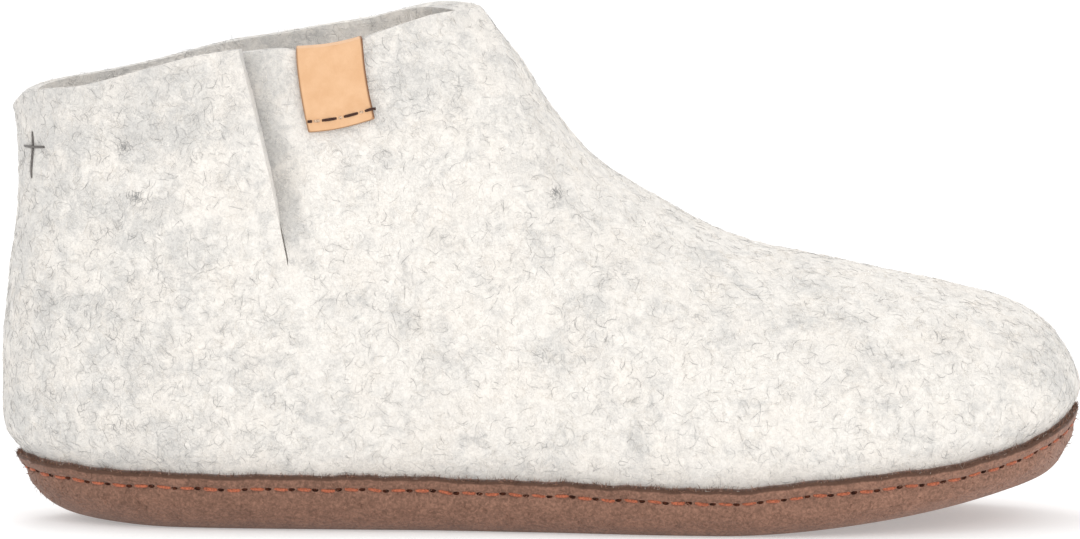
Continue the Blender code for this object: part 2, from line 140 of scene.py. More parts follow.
# The stations run along each side from the toe to the heel, as in the solids
STATIONS = (
    ("along", "outer", "inner", "tuck", "under", "lift", "rise", "bulge", "fan", "reach", "lean", "lip"),
    (0.9986, -0.030, 0.030, 0.54, 1.00, 0.85, 0.42, 0.68, 0, 0.745, 0.00, 1.05),
    (0.985, 0.145, 0.200, 0.53, 1.00, 0.85, 0.42, 0.73, 34, 0.725, 0.00, 0.93),
    (0.950, 0.275, 0.335, 0.50, 1.00, 0.85, 0.40, 0.82, 57, 0.68, 0.00, 0.81),
    (0.895, 0.385, 0.433, 0.50, 1.00, 0.85, 0.40, 0.90, 72, 0.62, 0.00, 0.78),
    (0.825, 0.458, 0.488, 0.52, 1.00, 0.88, 0.42, 0.97, 82, 0.58, 0.00, 0.86),
    (0.745, 0.495, 0.499, 0.52, 1.00, 0.90, 0.44, 1.02, 88, 0.56, 0.00, 0.92),
    (0.670, 0.497, 0.458, 0.52, 1.00, 0.90, 0.45, 1.02, 90, 0.54, 0.00, 0.87),
    (0.610, 0.487, 0.419, 0.52, 1.00, 0.90, 0.43, 0.98, 88, 0.52, 0.00, 0.89),
    (0.560, 0.480, 0.398, 0.52, 1.00, 0.90, 0.40, 0.93, 82, 0.48, 0.00, 0.91),
    (0.510, 0.477, 0.388, 0.56, 1.00, 0.90, 0.37, 0.84, 72, 0.42, 0.00, 0.94),
    (0.460, 0.485, 0.397, 0.60, 1.00, 0.95, 0.33, 0.75, 56, 0.35, 0.00, 0.95),
    (0.400, 0.498, 0.422, 0.65, 1.05, 1.00, 0.31, 0.67, 32, 0.32, 0.02, 0.98),
    (0.345, 0.515, 0.457, 0.68, 1.10, 1.00, 0.30, 0.61, 2, 0.32, 0.04, 1.00),
    (0.295, 0.515, 0.478, 0.72, 1.15, 1.05, 0.28, 0.61, -14, 0.32, 0.04, 1.00),
    (0.210, 0.505, 0.487, 0.80, 1.35, 1.15, 0.25, 0.63, -8, 0.32, 0.02, 1.01),
    (0.120, 0.460, 0.450, 0.92, 1.65, 1.30, 0.21, 0.68, 0, 0.33, -0.03, 1.03),
    (0.050, 0.335, 0.335, 0.91, 1.95, 1.50, 0.20, 0.74, 0, 0.35, -0.10, 0.97),
    (0.013, 0.183, 0.183, 0.93, 2.15, 1.60, 0.19, 0.75, 0, 0.36, -0.15, 0.93),
    (0.000, 0.000, 0.000, 0.93, 2.20, 1.62, 0.19, 0.75, 0, 0.36, -0.17, 0.90),
)
RIDGE = (
    ("along", "vamp", "throat"),
    (0.9190, 0.00, 0.000),
    (0.9120, 0.03, 0.000),
    (0.8930, 0.11, 0.000),
    (0.8550, 0.26, 0.000),
    (0.8000, 0.47, 0.000),
    (0.7370, 0.69, 0.000),
    (0.6700, 1.00, 0.000),
    (0.6080, 1.00, 0.158),
    (0.5500, 1.00, 0.342),
    (0.4960, 1.00, 0.655),
    (0.4430, 1.00, 1.000),
)
RIM = (
    ("back", "half", "outer", "inner"),
    (0.000, 0.000, 1.000, 1.000),
    (0.130, 0.360, 0.930, 0.985),
    (0.312, 0.468, 0.695, 0.802),
    (0.510, 0.500, 0.650, 0.636),
    (0.690, 0.485, 0.477, 0.414),
    (0.850, 0.390, 0.265, 0.267),
    (0.945, 0.240, 0.193, 0.193),
    (0.986, 0.120, 0.090, 0.090),
    (1.000, 0.000, 0.000, 0.000),
)
PEAK_STATION = len(RIDGE) - 2
HEEL_STATION = len(STATIONS) - 2
SLIT_STATION = PEAK_STATION + 3
ALL_STATIONS = 2 * HEEL_STATION

# Soft dents and swellings in the felt, listed for the outer (-1) and inner (+1) side.
# x, z: the middle, dx, dz: half lengths, turn: tilt in degrees, deep: depth, negative swells
FELT_DENTS = (
    ("side", "x", "z", "dx", "dz", "turn", "deep"),
    (-1, -0.0615, 0.0630, 0.0040, 0.0200, 12, 0.0008),
    (-1, -0.0530, 0.0960, 0.0060, 0.0130, 20, 0.0007),
    (-1, -0.0690, 0.0900, 0.0060, 0.0280, 8, -0.0006),
    (-1, -0.0050, 0.0830, 0.0100, 0.0220, -28, 0.0010),
    (-1, 0.0160, 0.0700, 0.0120, 0.0140, -40, 0.0009),
    (-1, 0.0350, 0.0540, 0.0220, 0.0080, -12, -0.0007),
    (-1, -0.0980, 0.0330, 0.0200, 0.0110, 0, -0.0005),
    (-1, 0.0830, 0.0320, 0.0260, 0.0100, 6, -0.0005),
    (-1, 0.1345, 0.0325, 0.0140, 0.0070, 0, -0.0009),
    (1, 0.1345, 0.0325, 0.0140, 0.0070, 0, -0.0009),
    (-1, 0.1270, 0.0480, 0.0080, 0.0050, 0, -0.0004),
    (1, 0.1270, 0.0480, 0.0080, 0.0050, 0, -0.0004),
    (-1, -0.1345, 0.0250, 0.0120, 0.0090, 0, -0.0008),
    (1, -0.1345, 0.0250, 0.0120, 0.0090, 0, -0.0008),
    (-1, -0.0070, 0.1140, 0.0090, 0.0100, 0, -0.0007),
    (1, -0.0070, 0.1140, 0.0090, 0.0100, 0, -0.0007),
    (1, -0.0020, 0.0830, 0.0100, 0.0240, -28, 0.0011),
    (1, 0.0200, 0.0640, 0.0150, 0.0140, -40, 0.0010),
    (1, -0.0900, 0.0750, 0.0120, 0.0300, 10, 0.0007),
    (1, -0.0400, 0.0350, 0.0300, 0.0120, 0, -0.0006),
)

# Where the rim is a little higher or lower. Side 0 stands for both sides.
# x: the middle, dx: half length, up: height
RIM_TRIM = (
    ("side", "x", "dx", "up"),
    (0, -0.0240, 0.0095, 0.0008),
    (1, -0.0400, 0.0120, -0.0009),
    (1, -0.0660, 0.0100, -0.0006),
)


def column_of(table, name):
    """One named column of a table, as an array."""
    place = table[0].index(name)
    return np.array([row[place] for row in table[1:]], float)


def unit(vectors):
    """The vectors, each with length one."""
    return vectors / np.linalg.norm(vectors, axis=-1, keepdims=True)


def smooth(share):
    """3 s squared less 2 s cubed: an even rise from 0 to 1 that starts and ends level."""
    share = np.clip(share, 0, 1)
    return share * share * (3 - 2 * share)


INVERSES = {}


def spline(values, at, closed=True):
    """A cubic through the values, which stand at 0, 1, 2 and so on, with continuous curvature."""
    count = len(values)
    change = 3 * (np.roll(values, -1, 0) - np.roll(values, 1, 0))
    if not closed:
        change[0], change[-1] = 3 * (values[1] - values[0]), 3 * (values[-1] - values[-2])
    if (count, closed) not in INVERSES:
        system = 4 * np.eye(count) + np.eye(count, k=1) + np.eye(count, k=-1)
        if closed:
            system[0, -1] = system[-1, 0] = 1
        else:
            system[0, 0] = system[-1, -1] = 2
        INVERSES[count, closed] = np.linalg.inv(system)
    slopes = INVERSES[count, closed] @ change
    first = np.floor(at + 1e-9).astype(int)
    part = at - first
    part = part.reshape(part.shape + (1,) * (values.ndim - 1))
    last, first = (first + 1) % count, first % count
    bend = part * part * (3 - 2 * part)
    leave, arrive = part * (1 - part) ** 2, part * part * (part - 1)
    return values[first] * (1 - bend) + values[last] * bend + slopes[first] * leave + slopes[last] * arrive


def round_the_shoe(outer, inner=None):
    """The values of the outer side from toe to heel, then of the inner side back to the toe."""
    inner = outer if inner is None else inner
    return np.concatenate([outer, inner[-2:0:-1]])


def one_side(at):
    """Places round the shoe as places on one side, 0 at the toe and HEEL_STATION at the heel."""
    at = np.mod(at, ALL_STATIONS)
    return np.minimum(at, ALL_STATIONS - at)


def side_sign(at):
    """-1 on the outer side, +1 on the inner side, 0 on the middle line."""
    at = np.mod(at, ALL_STATIONS)
    return np.sign(at - HEEL_STATION) * (at > 1e-9)


def station_values(name, at):
    """A column of STATIONS, smoothed round the shoe."""
    return spline(round_the_shoe(column_of(STATIONS, name)), at)[:, None]


def outline(at):
    """The shoe's outline seen from above: a closed spline through the stations' half widths."""
    along = column_of(STATIONS, "along")
    width = HEEL_WIDTH + (BALL_WIDTH - HEEL_WIDTH) * smooth((along - 0.30) / 0.36)
    outer, inner = -column_of(STATIONS, "outer") * width, column_of(STATIONS, "inner") * width
    places = round_the_shoe((along - 0.5) * SHOE_LENGTH)
    return spline(np.column_stack([places, round_the_shoe(outer, inner), 0 * places]), at)


def outline_normal(at):
    """The level direction out of the outline."""
    run = unit(outline(at + 0.01) - outline(at - 0.01))
    return np.column_stack([-run[:, 1], run[:, 0], 0 * at])


def underside(x):
    """Height of the sole's underside: flat, with a power curve at the toe and at the heel."""
    toe = np.clip((x - SHOE_LENGTH / 2 + TOE_SPRING_LENGTH) / TOE_SPRING_LENGTH, 0, None)
    heel = np.clip((-SHOE_LENGTH / 2 + HEEL_SPRING_LENGTH - x) / HEEL_SPRING_LENGTH, 0, None)
    return TOE_SPRING * toe**1.7 + HEEL_SPRING * heel**2


def ridge_line(at):
    """The ridge over the foot: an open spline through the rows of RIDGE."""
    throat = column_of(RIDGE, "throat")
    height = TOE_HEIGHT + (INSTEP_HEIGHT - TOE_HEIGHT) * column_of(RIDGE, "vamp")
    height = height + (COLLAR_FRONT_HEIGHT - INSTEP_HEIGHT) * throat
    along = (column_of(RIDGE, "along") - 0.5) * SHOE_LENGTH
    front = -SHOE_LENGTH / 2 + COLLAR_BACK_INSET + COLLAR_LENGTH
    along = along + (front - along[-1]) * throat
    points = np.column_stack([along, 0 * along, height])
    return spline(points, np.clip(at, 0, PEAK_STATION), closed=False)


def rim_line(at):
    """The collar's rim: a closed spline through the rows of RIM on both sides."""
    along = -SHOE_LENGTH / 2 + COLLAR_BACK_INSET + (1 - column_of(RIM, "back")) * COLLAR_LENGTH
    half = column_of(RIM, "half") * COLLAR_WIDTH
    height = round_the_shoe(column_of(RIM, "outer"), column_of(RIM, "inner"))
    height = COLLAR_BACK_HEIGHT + height * (COLLAR_FRONT_HEIGHT - COLLAR_BACK_HEIGHT)
    sides = [round_the_shoe(along), round_the_shoe(-half, half), height]
    return spline(np.column_stack(sides), at - PEAK_STATION)


def top_line(at):
    """Where the wall ends: on the ridge in front of the collar, on the rim behind."""
    on_ridge = one_side(at)[:, None] <= PEAK_STATION
    return np.where(on_ridge, ridge_line(one_side(at)), rim_line(np.mod(at, ALL_STATIONS)))


def top_direction(at):
    """The way in which the wall leaves the top line, so that both sides meet smoothly."""
    place, side, step = one_side(at), side_sign(at)[:, None], 0.01
    ridge = np.clip(place, step, PEAK_STATION)
    down_ridge = unit(ridge_line(ridge - step) - ridge_line(ridge))
    down_wall = outline_normal(at) * station_values("lean", at) + np.array([0.0, 0.0, -1.0])
    back = np.clip((place - PEAK_STATION) / 3, 0, 1)[:, None]
    down = unit(down_ridge * (1 - back) + down_wall * back)
    rim = np.mod(at, ALL_STATIONS)
    along_rim = unit(rim_line(rim + step) - rim_line(rim - step)) * -side
    sideways = np.where(place[:, None] <= PEAK_STATION, side * np.array([0.0, 1.0, 0.0]), along_rim)
    fan = np.radians(station_values("fan", at))
    return unit(np.cos(fan) * down + np.sin(fan) * sideways)


def wall_controls(at):
    """The points that shape each column of felt, from its lower edge to the top line."""
    plan, out, top = outline(at), outline_normal(at), top_line(at)
    foot = plan - out * station_values("tuck", at) * EDGE_TUCK
    under = foot - out * station_values("under", at) * EDGE_RADIUS
    under[:, 2] = underside(under[:, 0]) + SOLE_BASE
    foot[:, 2] = under[:, 2] + station_values("lift", at)[:, 0] * EDGE_RADIUS
    tall = top[:, 2] - foot[:, 2]
    belly = plan + out * station_values("bulge", at) * FELT_BULGE
    belly[:, 2] = foot[:, 2] + station_values("rise", at)[:, 0] * tall
    across = np.linalg.norm((top - plan)[:, :2], axis=1)
    behind = np.clip((one_side(at) - PEAK_STATION + 3) / 3, 0, 1)
    reach = station_values("reach", at) * (across * (1 - behind) + tall * behind)[:, None]
    return under, foot, belly, top + top_direction(at) * reach, top


def bezier(controls, part):
    """A cubic curve through four control points."""
    first, second, third, last = (points[:, None] for points in controls)
    part, rest = part[..., None], 1 - part[..., None]
    return first * rest**3 + 3 * second * rest**2 * part + 3 * third * rest * part**2 + last * part**3


def lip_height(at):
    """Height of the suede's upper edge, as cut: a little wavy."""
    wave = 0.00012 * np.sin(at * 5.0 * np.pi / 3) + 0.00010 * np.sin(at * 11.0 * np.pi / 3 + 1.0)
    return underside(outline(at)[:, 0]) + station_values("lip", at)[:, 0] * SOLE_HEIGHT + wave


def felt_skin(at, parts):
    """The felt's outside. Parts from -1 to 0 round its lower edge, 0 to 1 climb the wall.

    Two cubic curves a column, pressed in by LIP_PINCH up to the suede's lip.
    """
    under, foot, belly, shoulder, top = wall_controls(at)
    across = np.linalg.norm((foot - under)[:, :2], axis=1)[:, None]
    lift = (foot - under)[:, 2:]
    turn = (under, under + outline_normal(at) * across * 0.6, foot - unit(belly - foot) * lift * 0.5, foot)
    edge = bezier(turn, np.clip(parts, -1, 0) + 1)
    wall = bezier((foot, belly, shoulder, top), np.clip(parts, 0, 1))
    points = np.where((parts < 0)[..., None], edge, wall)
    held = 1 - smooth((points[..., 2] - lip_height(at)[:, None]) / LIP_PINCH_HEIGHT)
    return points - outline_normal(at)[:, None] * held[..., None] * LIP_PINCH


def in_columns(at, values):
    """One row of values, or one row a column, spread over all the columns."""
    return np.broadcast_to(values, (len(at), np.shape(values)[-1]))


def felt_normals(at, parts):
    """The way out of the felt: the cross product of its slopes up and along."""
    parts = in_columns(at, parts)
    step = 0.004
    low, high = np.maximum(parts - step, -1), np.minimum(parts + step, 1)
    climb = felt_skin(at, high) - felt_skin(at, low)
    run = felt_skin(at + step, parts) - felt_skin(at - step, parts)
    return unit(np.cross(climb, run))


def felt_layer(at, parts, depth):
    """Points at a depth under the outside of the felt. A negative depth lies outside it."""
    parts = in_columns(at, parts)
    return felt_skin(at, parts) - felt_normals(at, parts) * np.asarray(depth)[..., None]


def part_at_height(at, heights):
    """The parts of each column at which the felt reaches the heights, read between close steps."""
    steps = np.linspace(-1, 1, 401)
    climb = felt_skin(at, in_columns(at, steps))[..., 2]
    return np.array([np.interp(wanted, column, steps) for wanted, column in zip(in_columns(at, heights), climb)])


def on_felt(x, z, at, depth, part=0.7):
    """Points of the outer side's felt at places along the shoe and heights.

    Newton's method on the column and the part, from a first guess.
    """
    at, part = np.array(at, float), np.full(len(x), part)
    for _ in range(9):
        here, ahead, above = (
            felt_layer(at + run, (part + climb)[:, None], depth)[:, 0] for run, climb in ((0, 0), (0.02, 0), (0, 0.004))
        )
        run, climb = (ahead - here) / 0.02, (above - here) / 0.004
        miss_x, miss_z = x - here[:, 0], z - here[:, 2]
        whole = run[:, 0] * climb[:, 2] - run[:, 2] * climb[:, 0]
        at = at + np.clip((miss_x * climb[:, 2] - miss_z * climb[:, 0]) / whole, -0.5, 0.5)
        part = np.clip(part + (miss_z * run[:, 0] - miss_x * run[:, 2]) / whole, 0, 0.995)
    part = part[:, None]
    return felt_layer(at, part, depth)[:, 0], felt_normals(at, part)[:, 0]


def below_rim(x, drop, depth):
    """Points on a layer of the outer side's felt, at places along the shoe and depths below the rim."""
    places = np.linspace(PEAK_STATION, HEEL_STATION, 200)
    at = np.interp(-x, -rim_line(places)[:, 0], places)
    return on_felt(x, rim_line(at)[:, 2] - drop, at, depth, 0.9)


def lumps(points, size, seed):
    """Soft noise from -1 to 1: random values on a lattice of that size, blended evenly."""
    table = np.random.default_rng(seed).uniform(-1, 1, (32, 32, 32))
    scaled = points / size + 100.0
    corner = np.floor(scaled).astype(int)
    share = smooth(scaled - corner)
    total = 0.0
    for dx in (0, 1):
        for dy in (0, 1):
            for dz in (0, 1):
                weight = np.abs(1 - dx - share[..., 0]) * np.abs(1 - dy - share[..., 1])
                weight = weight * np.abs(1 - dz - share[..., 2])
                place = (corner + (dx, dy, dz)) % 32
                total = total + weight * table[place[..., 0], place[..., 1], place[..., 2]]
    return total


def felt_relief(points):
    """How far the felt stands out: soft lumps of three sizes and the listed dents."""
    relief = sum(height * lumps(points, size, seed) for size, height, seed in FELT_LUMPS[1:])
    for side, x, z, dx, dz, turn, deep in FELT_DENTS[1:]:
        turn = np.radians(turn)
        along, up = points[..., 0] - x, points[..., 2] - z
        across_dent = (along * np.cos(turn) + up * np.sin(turn)) / dx
        up_dent = (up * np.cos(turn) - along * np.sin(turn)) / dz
        relief = relief - deep * np.exp(-(across_dent**2 + up_dent**2)) * (points[..., 1] * side > 0)
    return relief


def slit_end():
    """The part of the slit's column at which the slit ends, SLIT_LENGTH below the rim."""
    parts = np.linspace(0, 1, 400)
    points = felt_skin(np.array([float(SLIT_STATION)]), parts[None])[0]
    steps = np.linalg.norm(np.diff(points, axis=0), axis=1)
    from_top = np.append(np.cumsum(steps[::-1])[::-1], 0)
    return float(np.interp(-SLIT_LENGTH, -from_top, parts))


def before_slit(at, flap):
    """1 at the front flap's cut edge, falling to 0 over SLIT_SPREAD in front of it."""
    return smooth((at - SLIT_STATION) / SLIT_SPREAD + 1)[:, None] * flap[:, None]


def dressed_felt(at, parts, flap):
    """The felt's outside with its relief. In front of the slit it sinks behind the rear flap."""
    end, near, outer_side = slit_end(), before_slit(at, flap), (side_sign(at) < 0)[:, None]
    up = np.clip((parts - end) / (1 - end), 0, 1)
    base = felt_skin(at, parts)
    fade = 1 - 0.9 * near * (up > 0)
    behind = smooth((SLIT_STATION - at) / SLIT_CURL_SPREAD + 1)[:, None] * ~flap[:, None] * outer_side
    curl = behind * (at >= SLIT_STATION)[:, None] * smooth(up / 0.3) * SLIT_CURL
    sunk = near * smooth(up / 0.35) * (FELT_WALL + SLIT_GAP) - felt_relief(base) * fade - curl
    apart = near * (up > 0) * SLIT_GAP - near * smooth((up - 0.25) / 0.65) * (SLIT_GAP + SLIT_OVERLAP)
    points = base - felt_normals(at, parts) * sunk[..., None]
    points[..., 0] += apart
    pressed = smooth(1.25 - np.abs(points[..., 0] - tab_centre()) / TAB_PRESS_HALF) * outer_side
    points[..., 2] -= near * up * SLIT_DIP + pressed * smooth((parts - 0.9) / 0.1) * TAB_PRESS
    for side, x, dx, height in RIM_TRIM[1:]:
        chosen = (side_sign(at) * side >= 0)[:, None] * smooth((parts - 0.85) / 0.15)
        points[..., 2] += height * np.exp(-(((base[..., 0] - x) / dx) ** 2)) * chosen
    return points


def felt_tone(points, at, parts, flap):
    """How grey the felt is drawn: the wool's clumps, greyer higher up, painted shade toward the heel, the toe and low
    at the rear, and a painted shadow beside the slit.
    """
    clumps = 0.55 * lumps(points, 0.0048, 41) + 0.45 * lumps(points, 0.0110, 42)
    x, z = points[..., 0], points[..., 2]
    # Greyer higher up toward the collar; painted shade toward the heel and the toe, where the felt turns from the
    # lamps, and low at the rear, under the felt's belly.
    grey = 0.22 * smooth((z - 0.082) / 0.03) + 0.32 * smooth((-0.055 - x) / 0.05)
    grey = grey + 0.14 * smooth((x - 0.105) / 0.03) + 0.14 * smooth((0.03 - z) / 0.012) * smooth(0.5 - x / 0.06)
    # Painted shadow: the front flap is drawn dark beside the slit, where the rear flap's proud edge shades it.
    slit_shadow = before_slit(at, flap) * smooth((parts - slit_end() + 0.06) / 0.10)
    return 0.31 + 0.42 * clumps + grey + 1.10 * slit_shadow**2


class Mesh:
    """Vertices, faces and per-vertex tones of one piece, gathered as whole arrays."""

    def __init__(self):
        self.points, self.faces, self.tones, self.count = [], [], [], 0

    def add(self, points, tone=0.0):
        """Adds points and returns their numbers, in the same layout."""
        points = np.asarray(points, float)
        size = points[..., 0].size
        self.points.append(points.reshape(-1, 3))
        self.tones.append(np.broadcast_to(tone, points.shape[:-1]).reshape(-1))
        self.count += size
        return np.arange(self.count - size, self.count).reshape(points.shape[:-1])

    def quads(self, a, b, c, d):
        """Adds four-cornered faces from four arrays of numbers."""
        self.faces.append(np.stack([np.ravel(corner) for corner in (a, b, c, d)], axis=1))

    def grid(self, numbers, closed=False):
        """Faces over a grid of numbers whose first way may be closed."""
        ahead = np.roll(numbers, -1, 0) if closed else numbers[1:]
        here = numbers if closed else numbers[:-1]
        self.quads(here[:, :-1], here[:, 1:], ahead[:, 1:], ahead[:, :-1])

    def across(self, row, upwards):
        """Faces between the two sides of a closed row that starts at the toe."""
        half = len(row) // 2
        outer, inner = row[: half + 1], np.append(row[:1], row[: half - 1 : -1])
        corners = (outer[:-1], outer[1:], inner[1:], inner[:-1])
        self.quads(*(corners[::-1] if upwards else corners))

    def make(self, name, material):
        """The object, smooth shaded, at the origin, with its tones as an attribute."""
        mesh = bpy.data.meshes.new(name)
        faces = np.concatenate(self.faces)
        doubled = np.stack([faces[:, k] == faces[:, k - 1] for k in range(4)], axis=1)
        folded = doubled.any(1)
        thin = [row[~skip].tolist() for row, skip in zip(faces[folded], doubled[folded])]
        faces = faces[~folded].tolist() + [face for face in thin if len(face) > 2]
        mesh.from_pydata(np.concatenate(self.points), [], faces)
        tone = mesh.attributes.new("tone", "FLOAT", "POINT")
        tone.data.foreach_set("value", np.concatenate(self.tones).astype(np.float32))
        mesh.shade_smooth()
        mesh.materials.append(material)
        piece = bpy.data.objects.new(name, mesh)
        bpy.context.scene.collection.objects.link(piece)
        return piece


def sweep(path, sideways, upwards, radius, tone, sides=8):
    """A tube along a path: each ring is a circle of that radius, and both ends close in a point.

    path is (tubes, steps, 3), sideways and upwards the ring's axes, radius (steps) or (tubes, steps).
    """
    angle = np.arange(sides) * 2 * np.pi / sides
    radius = np.broadcast_to(radius, path.shape[:2])[..., None, None]
    ring = sideways[:, :, None] * np.cos(angle)[:, None] + upwards[:, :, None] * np.sin(angle)[:, None]
    mesh, tone = Mesh(), np.reshape(tone, (-1, 1))
    numbers = mesh.add(path[:, :, None] + ring * radius, tone[..., None])
    ahead = np.roll(numbers, -1, 2)
    mesh.quads(numbers[:, :-1], numbers[:, 1:], ahead[:, 1:], ahead[:, :-1])
    first, last = mesh.add(path[:, :1], tone), mesh.add(path[:, -1:], tone)
    mesh.quads(ahead[:, 0], *[np.broadcast_to(first, ahead[:, 0].shape)] * 2, numbers[:, 0])
    mesh.quads(numbers[:, -1], *[np.broadcast_to(last, ahead[:, 0].shape)] * 2, ahead[:, -1])
    return mesh


def threads(path, out, radius):
    """Round threads along their paths. out is the way out of what they lie on, at each step."""
    return sweep(path, unit(np.cross(unit(np.gradient(path, axis=1)), out)), out, radius, 0.0)


def hairs(path, out, radius, tones):
    """Thin three-sided hairs along their paths. out is one way out of the ground for each."""
    along = unit(np.gradient(path, axis=1))
    side = unit(np.cross(along, out[:, None] + 0.01))
    return sweep(path, side, np.cross(side, along), radius, tones, sides=3)


def give_wall(piece, thickness, offset, rounding, segments):
    """Thickens a sheet, in if the offset is -1 and out if it is 1, and rounds its cut edges."""
    wall = piece.modifiers.new("Wall", "SOLIDIFY")
    wall.thickness, wall.offset, wall.use_even_offset = thickness, offset, True
    edge = piece.modifiers.new("Cut edge", "BEVEL")
    edge.width, edge.segments, edge.limit_method, edge.angle_limit = rounding, segments, "ANGLE", CUT_ANGLE


def tinted(colour, shade, top=1.0):
    """The colour times one shade, or times a shade for each of its parts, up to a limit."""
    return tuple(float(value) for value in np.minimum(np.multiply(tuple(colour), shade), top))


class Shader:
    """A node tree for one finish, built round its Principled shader."""

    def __init__(self, name):
        self.material = bpy.data.materials.new(name)
        self.material.use_nodes = True
        self.tree = self.material.node_tree
        self.surface = self.tree.nodes["Principled BSDF"]
        self.place = self.add("ShaderNodeTexCoord").outputs["Object"]

    def put(self, socket, value):
        """Links another socket to this one, or sets it to a colour or a number."""
        if isinstance(value, bpy.types.NodeSocket):
            self.tree.links.new(value, socket)
        else:
            socket.default_value = (*value, 1.0) if isinstance(value, tuple) else value

    def add(self, kind, inputs=None, **settings):
        """A node with its settings and inputs."""
        node = self.tree.nodes.new(kind)
        for name, value in settings.items():
            setattr(node, name, value)
        for name, value in (inputs or {}).items():
            self.put(node.inputs[name], value)
        return node

    def noise(self, scale, detail=2.0, rough=0.5, distortion=0.0):
        """Noise of so many features a metre."""
        values = {"Vector": self.place, "Scale": scale, "Detail": detail, "Roughness": rough, "Distortion": distortion}
        return self.add("ShaderNodeTexNoise", values).outputs["Fac"]

    def ramp(self, factor, *stops):
        """Colours or grey values at their places along a factor."""
        node = self.add("ShaderNodeValToRGB", {"Fac": factor})
        elements = node.color_ramp.elements
        while len(elements) < len(stops):
            elements.new(0.5)
        for element, (place, colour) in zip(elements, stops):
            element.position = place
            element.color = (*colour, 1.0) if isinstance(colour, tuple) else (colour,) * 3 + (1.0,)
        return node.outputs["Color"]

    def mix(self, factor, first, second, blend="MIX"):
        """One colour laid over another."""
        values = {0: factor, 6: first, 7: second}
        return self.add("ShaderNodeMix", values, data_type="RGBA", blend_type=blend).outputs[2]

    def attribute(self, name):
        """A value kept on the mesh."""
        return self.add("ShaderNodeAttribute", attribute_name=name).outputs["Fac"]

    def math(self, operation, first, second):
        """Two values joined by an operation such as ADD."""
        return self.add("ShaderNodeMath", {0: first, 1: second}, operation=operation).outputs[0]

    def bump(self, height, distance, strength):
        """Fine relief in the shader."""
        node = self.add("ShaderNodeBump", {"Height": height, "Distance": distance, "Strength": strength})
        self.put(self.surface.inputs["Normal"], node.outputs["Normal"])

    def finish(self, colour, roughness, **values):
        """Joins the colour and the roughness and sets the other values on the shader."""
        for name, value in {"Base_Color": colour, "Roughness": roughness, **values}.items():
            self.put(self.surface.inputs[name.replace("_", " ")], value)
        return self.material


def felt_finish(name, look, tint=1.0):
    """Wool felt: pale ground with grey clumps and the painted shade that the tone attribute carries, thin curled dark
    and light fibres, and a soft nap.

    A fibre is the line along which a noise crosses one half, so it wanders and closes on itself.
    """
    shader = Shader(name)
    light, grey, warm = (tinted(colour, tint) for colour in (look.felt_light, look.felt_grey, look.felt_warm))
    clumps = shader.noise(230.0, 4.0, 0.65, 0.9)
    # The tone brings the wool's clumps and the painted shade of felt_tone, so the clouds carry painted shade too.
    spread = shader.math("ADD", shader.attribute("tone"), shader.math("MULTIPLY", clumps, 2.0))
    spread = shader.math("SUBTRACT", spread, 1.0)
    clouds = shader.ramp(spread, (0.16, 0.0), (0.42, 0.30), (0.75, 0.85), (1.0, 1.0))
    colour = shader.mix(clouds, light, grey)
    colour = shader.mix(shader.ramp(shader.noise(95.0, 2.0), (0.46, 0.0), (0.62, 0.55)), colour, warm)
    hairs = {"dark": [], "light": []}
    for kind, scale, half, detail in (
        ("dark", 240.0, 0.026, 1.0),
        ("dark", 380.0, 0.034, 1.5),
        ("dark", 560.0, 0.040, 1.5),
        ("light", 300.0, 0.028, 1.0),
        ("light", 480.0, 0.038, 1.5),
    ):
        lines = shader.noise(scale, detail, 0.5, 2.2)
        line = shader.ramp(lines, (0.5 - half, 0.0), (0.5, 1.0), (0.5 + half, 0.0))
        broken = shader.ramp(shader.noise(scale * 0.9 + 31.0, 2.0), (0.44, 0.0), (0.56, 1.0))
        hairs[kind].append(shader.math("MULTIPLY", line, broken))
    dark = shader.math("MAXIMUM", shader.math("MAXIMUM", hairs["dark"][0], hairs["dark"][1]), hairs["dark"][2])
    pale = shader.math("MAXIMUM", *hairs["light"])
    amount = shader.math("MULTIPLY", dark, shader.ramp(clouds, (0.0, 0.14), (0.5, 0.38), (1.0, 0.58)))
    colour = shader.mix(amount, colour, tinted((0.47, 0.46, 0.45), tint))
    colour = shader.mix(shader.math("MULTIPLY", pale, 0.55), colour, tinted(light, 1.07, top=0.93))
    fine = shader.noise(1500.0, 3.0, 0.7, 1.2)
    colour = shader.mix(1.0, colour, shader.ramp(fine, (0.30, 0.94), (0.5, 1.0), (0.70, 1.03)), "MULTIPLY")
    nap = shader.math("ADD", fine, shader.noise(420.0, 3.0, 0.6, 1.0))
    nap = shader.math("ADD", nap, shader.math("MULTIPLY", shader.math("SUBTRACT", pale, dark), 0.35))
    shader.bump(nap, 0.00040, 0.65)
    return shader.finish(colour, 0.96, Sheen_Weight=0.25, Sheen_Roughness=0.55, Specular_IOR_Level=0.10)


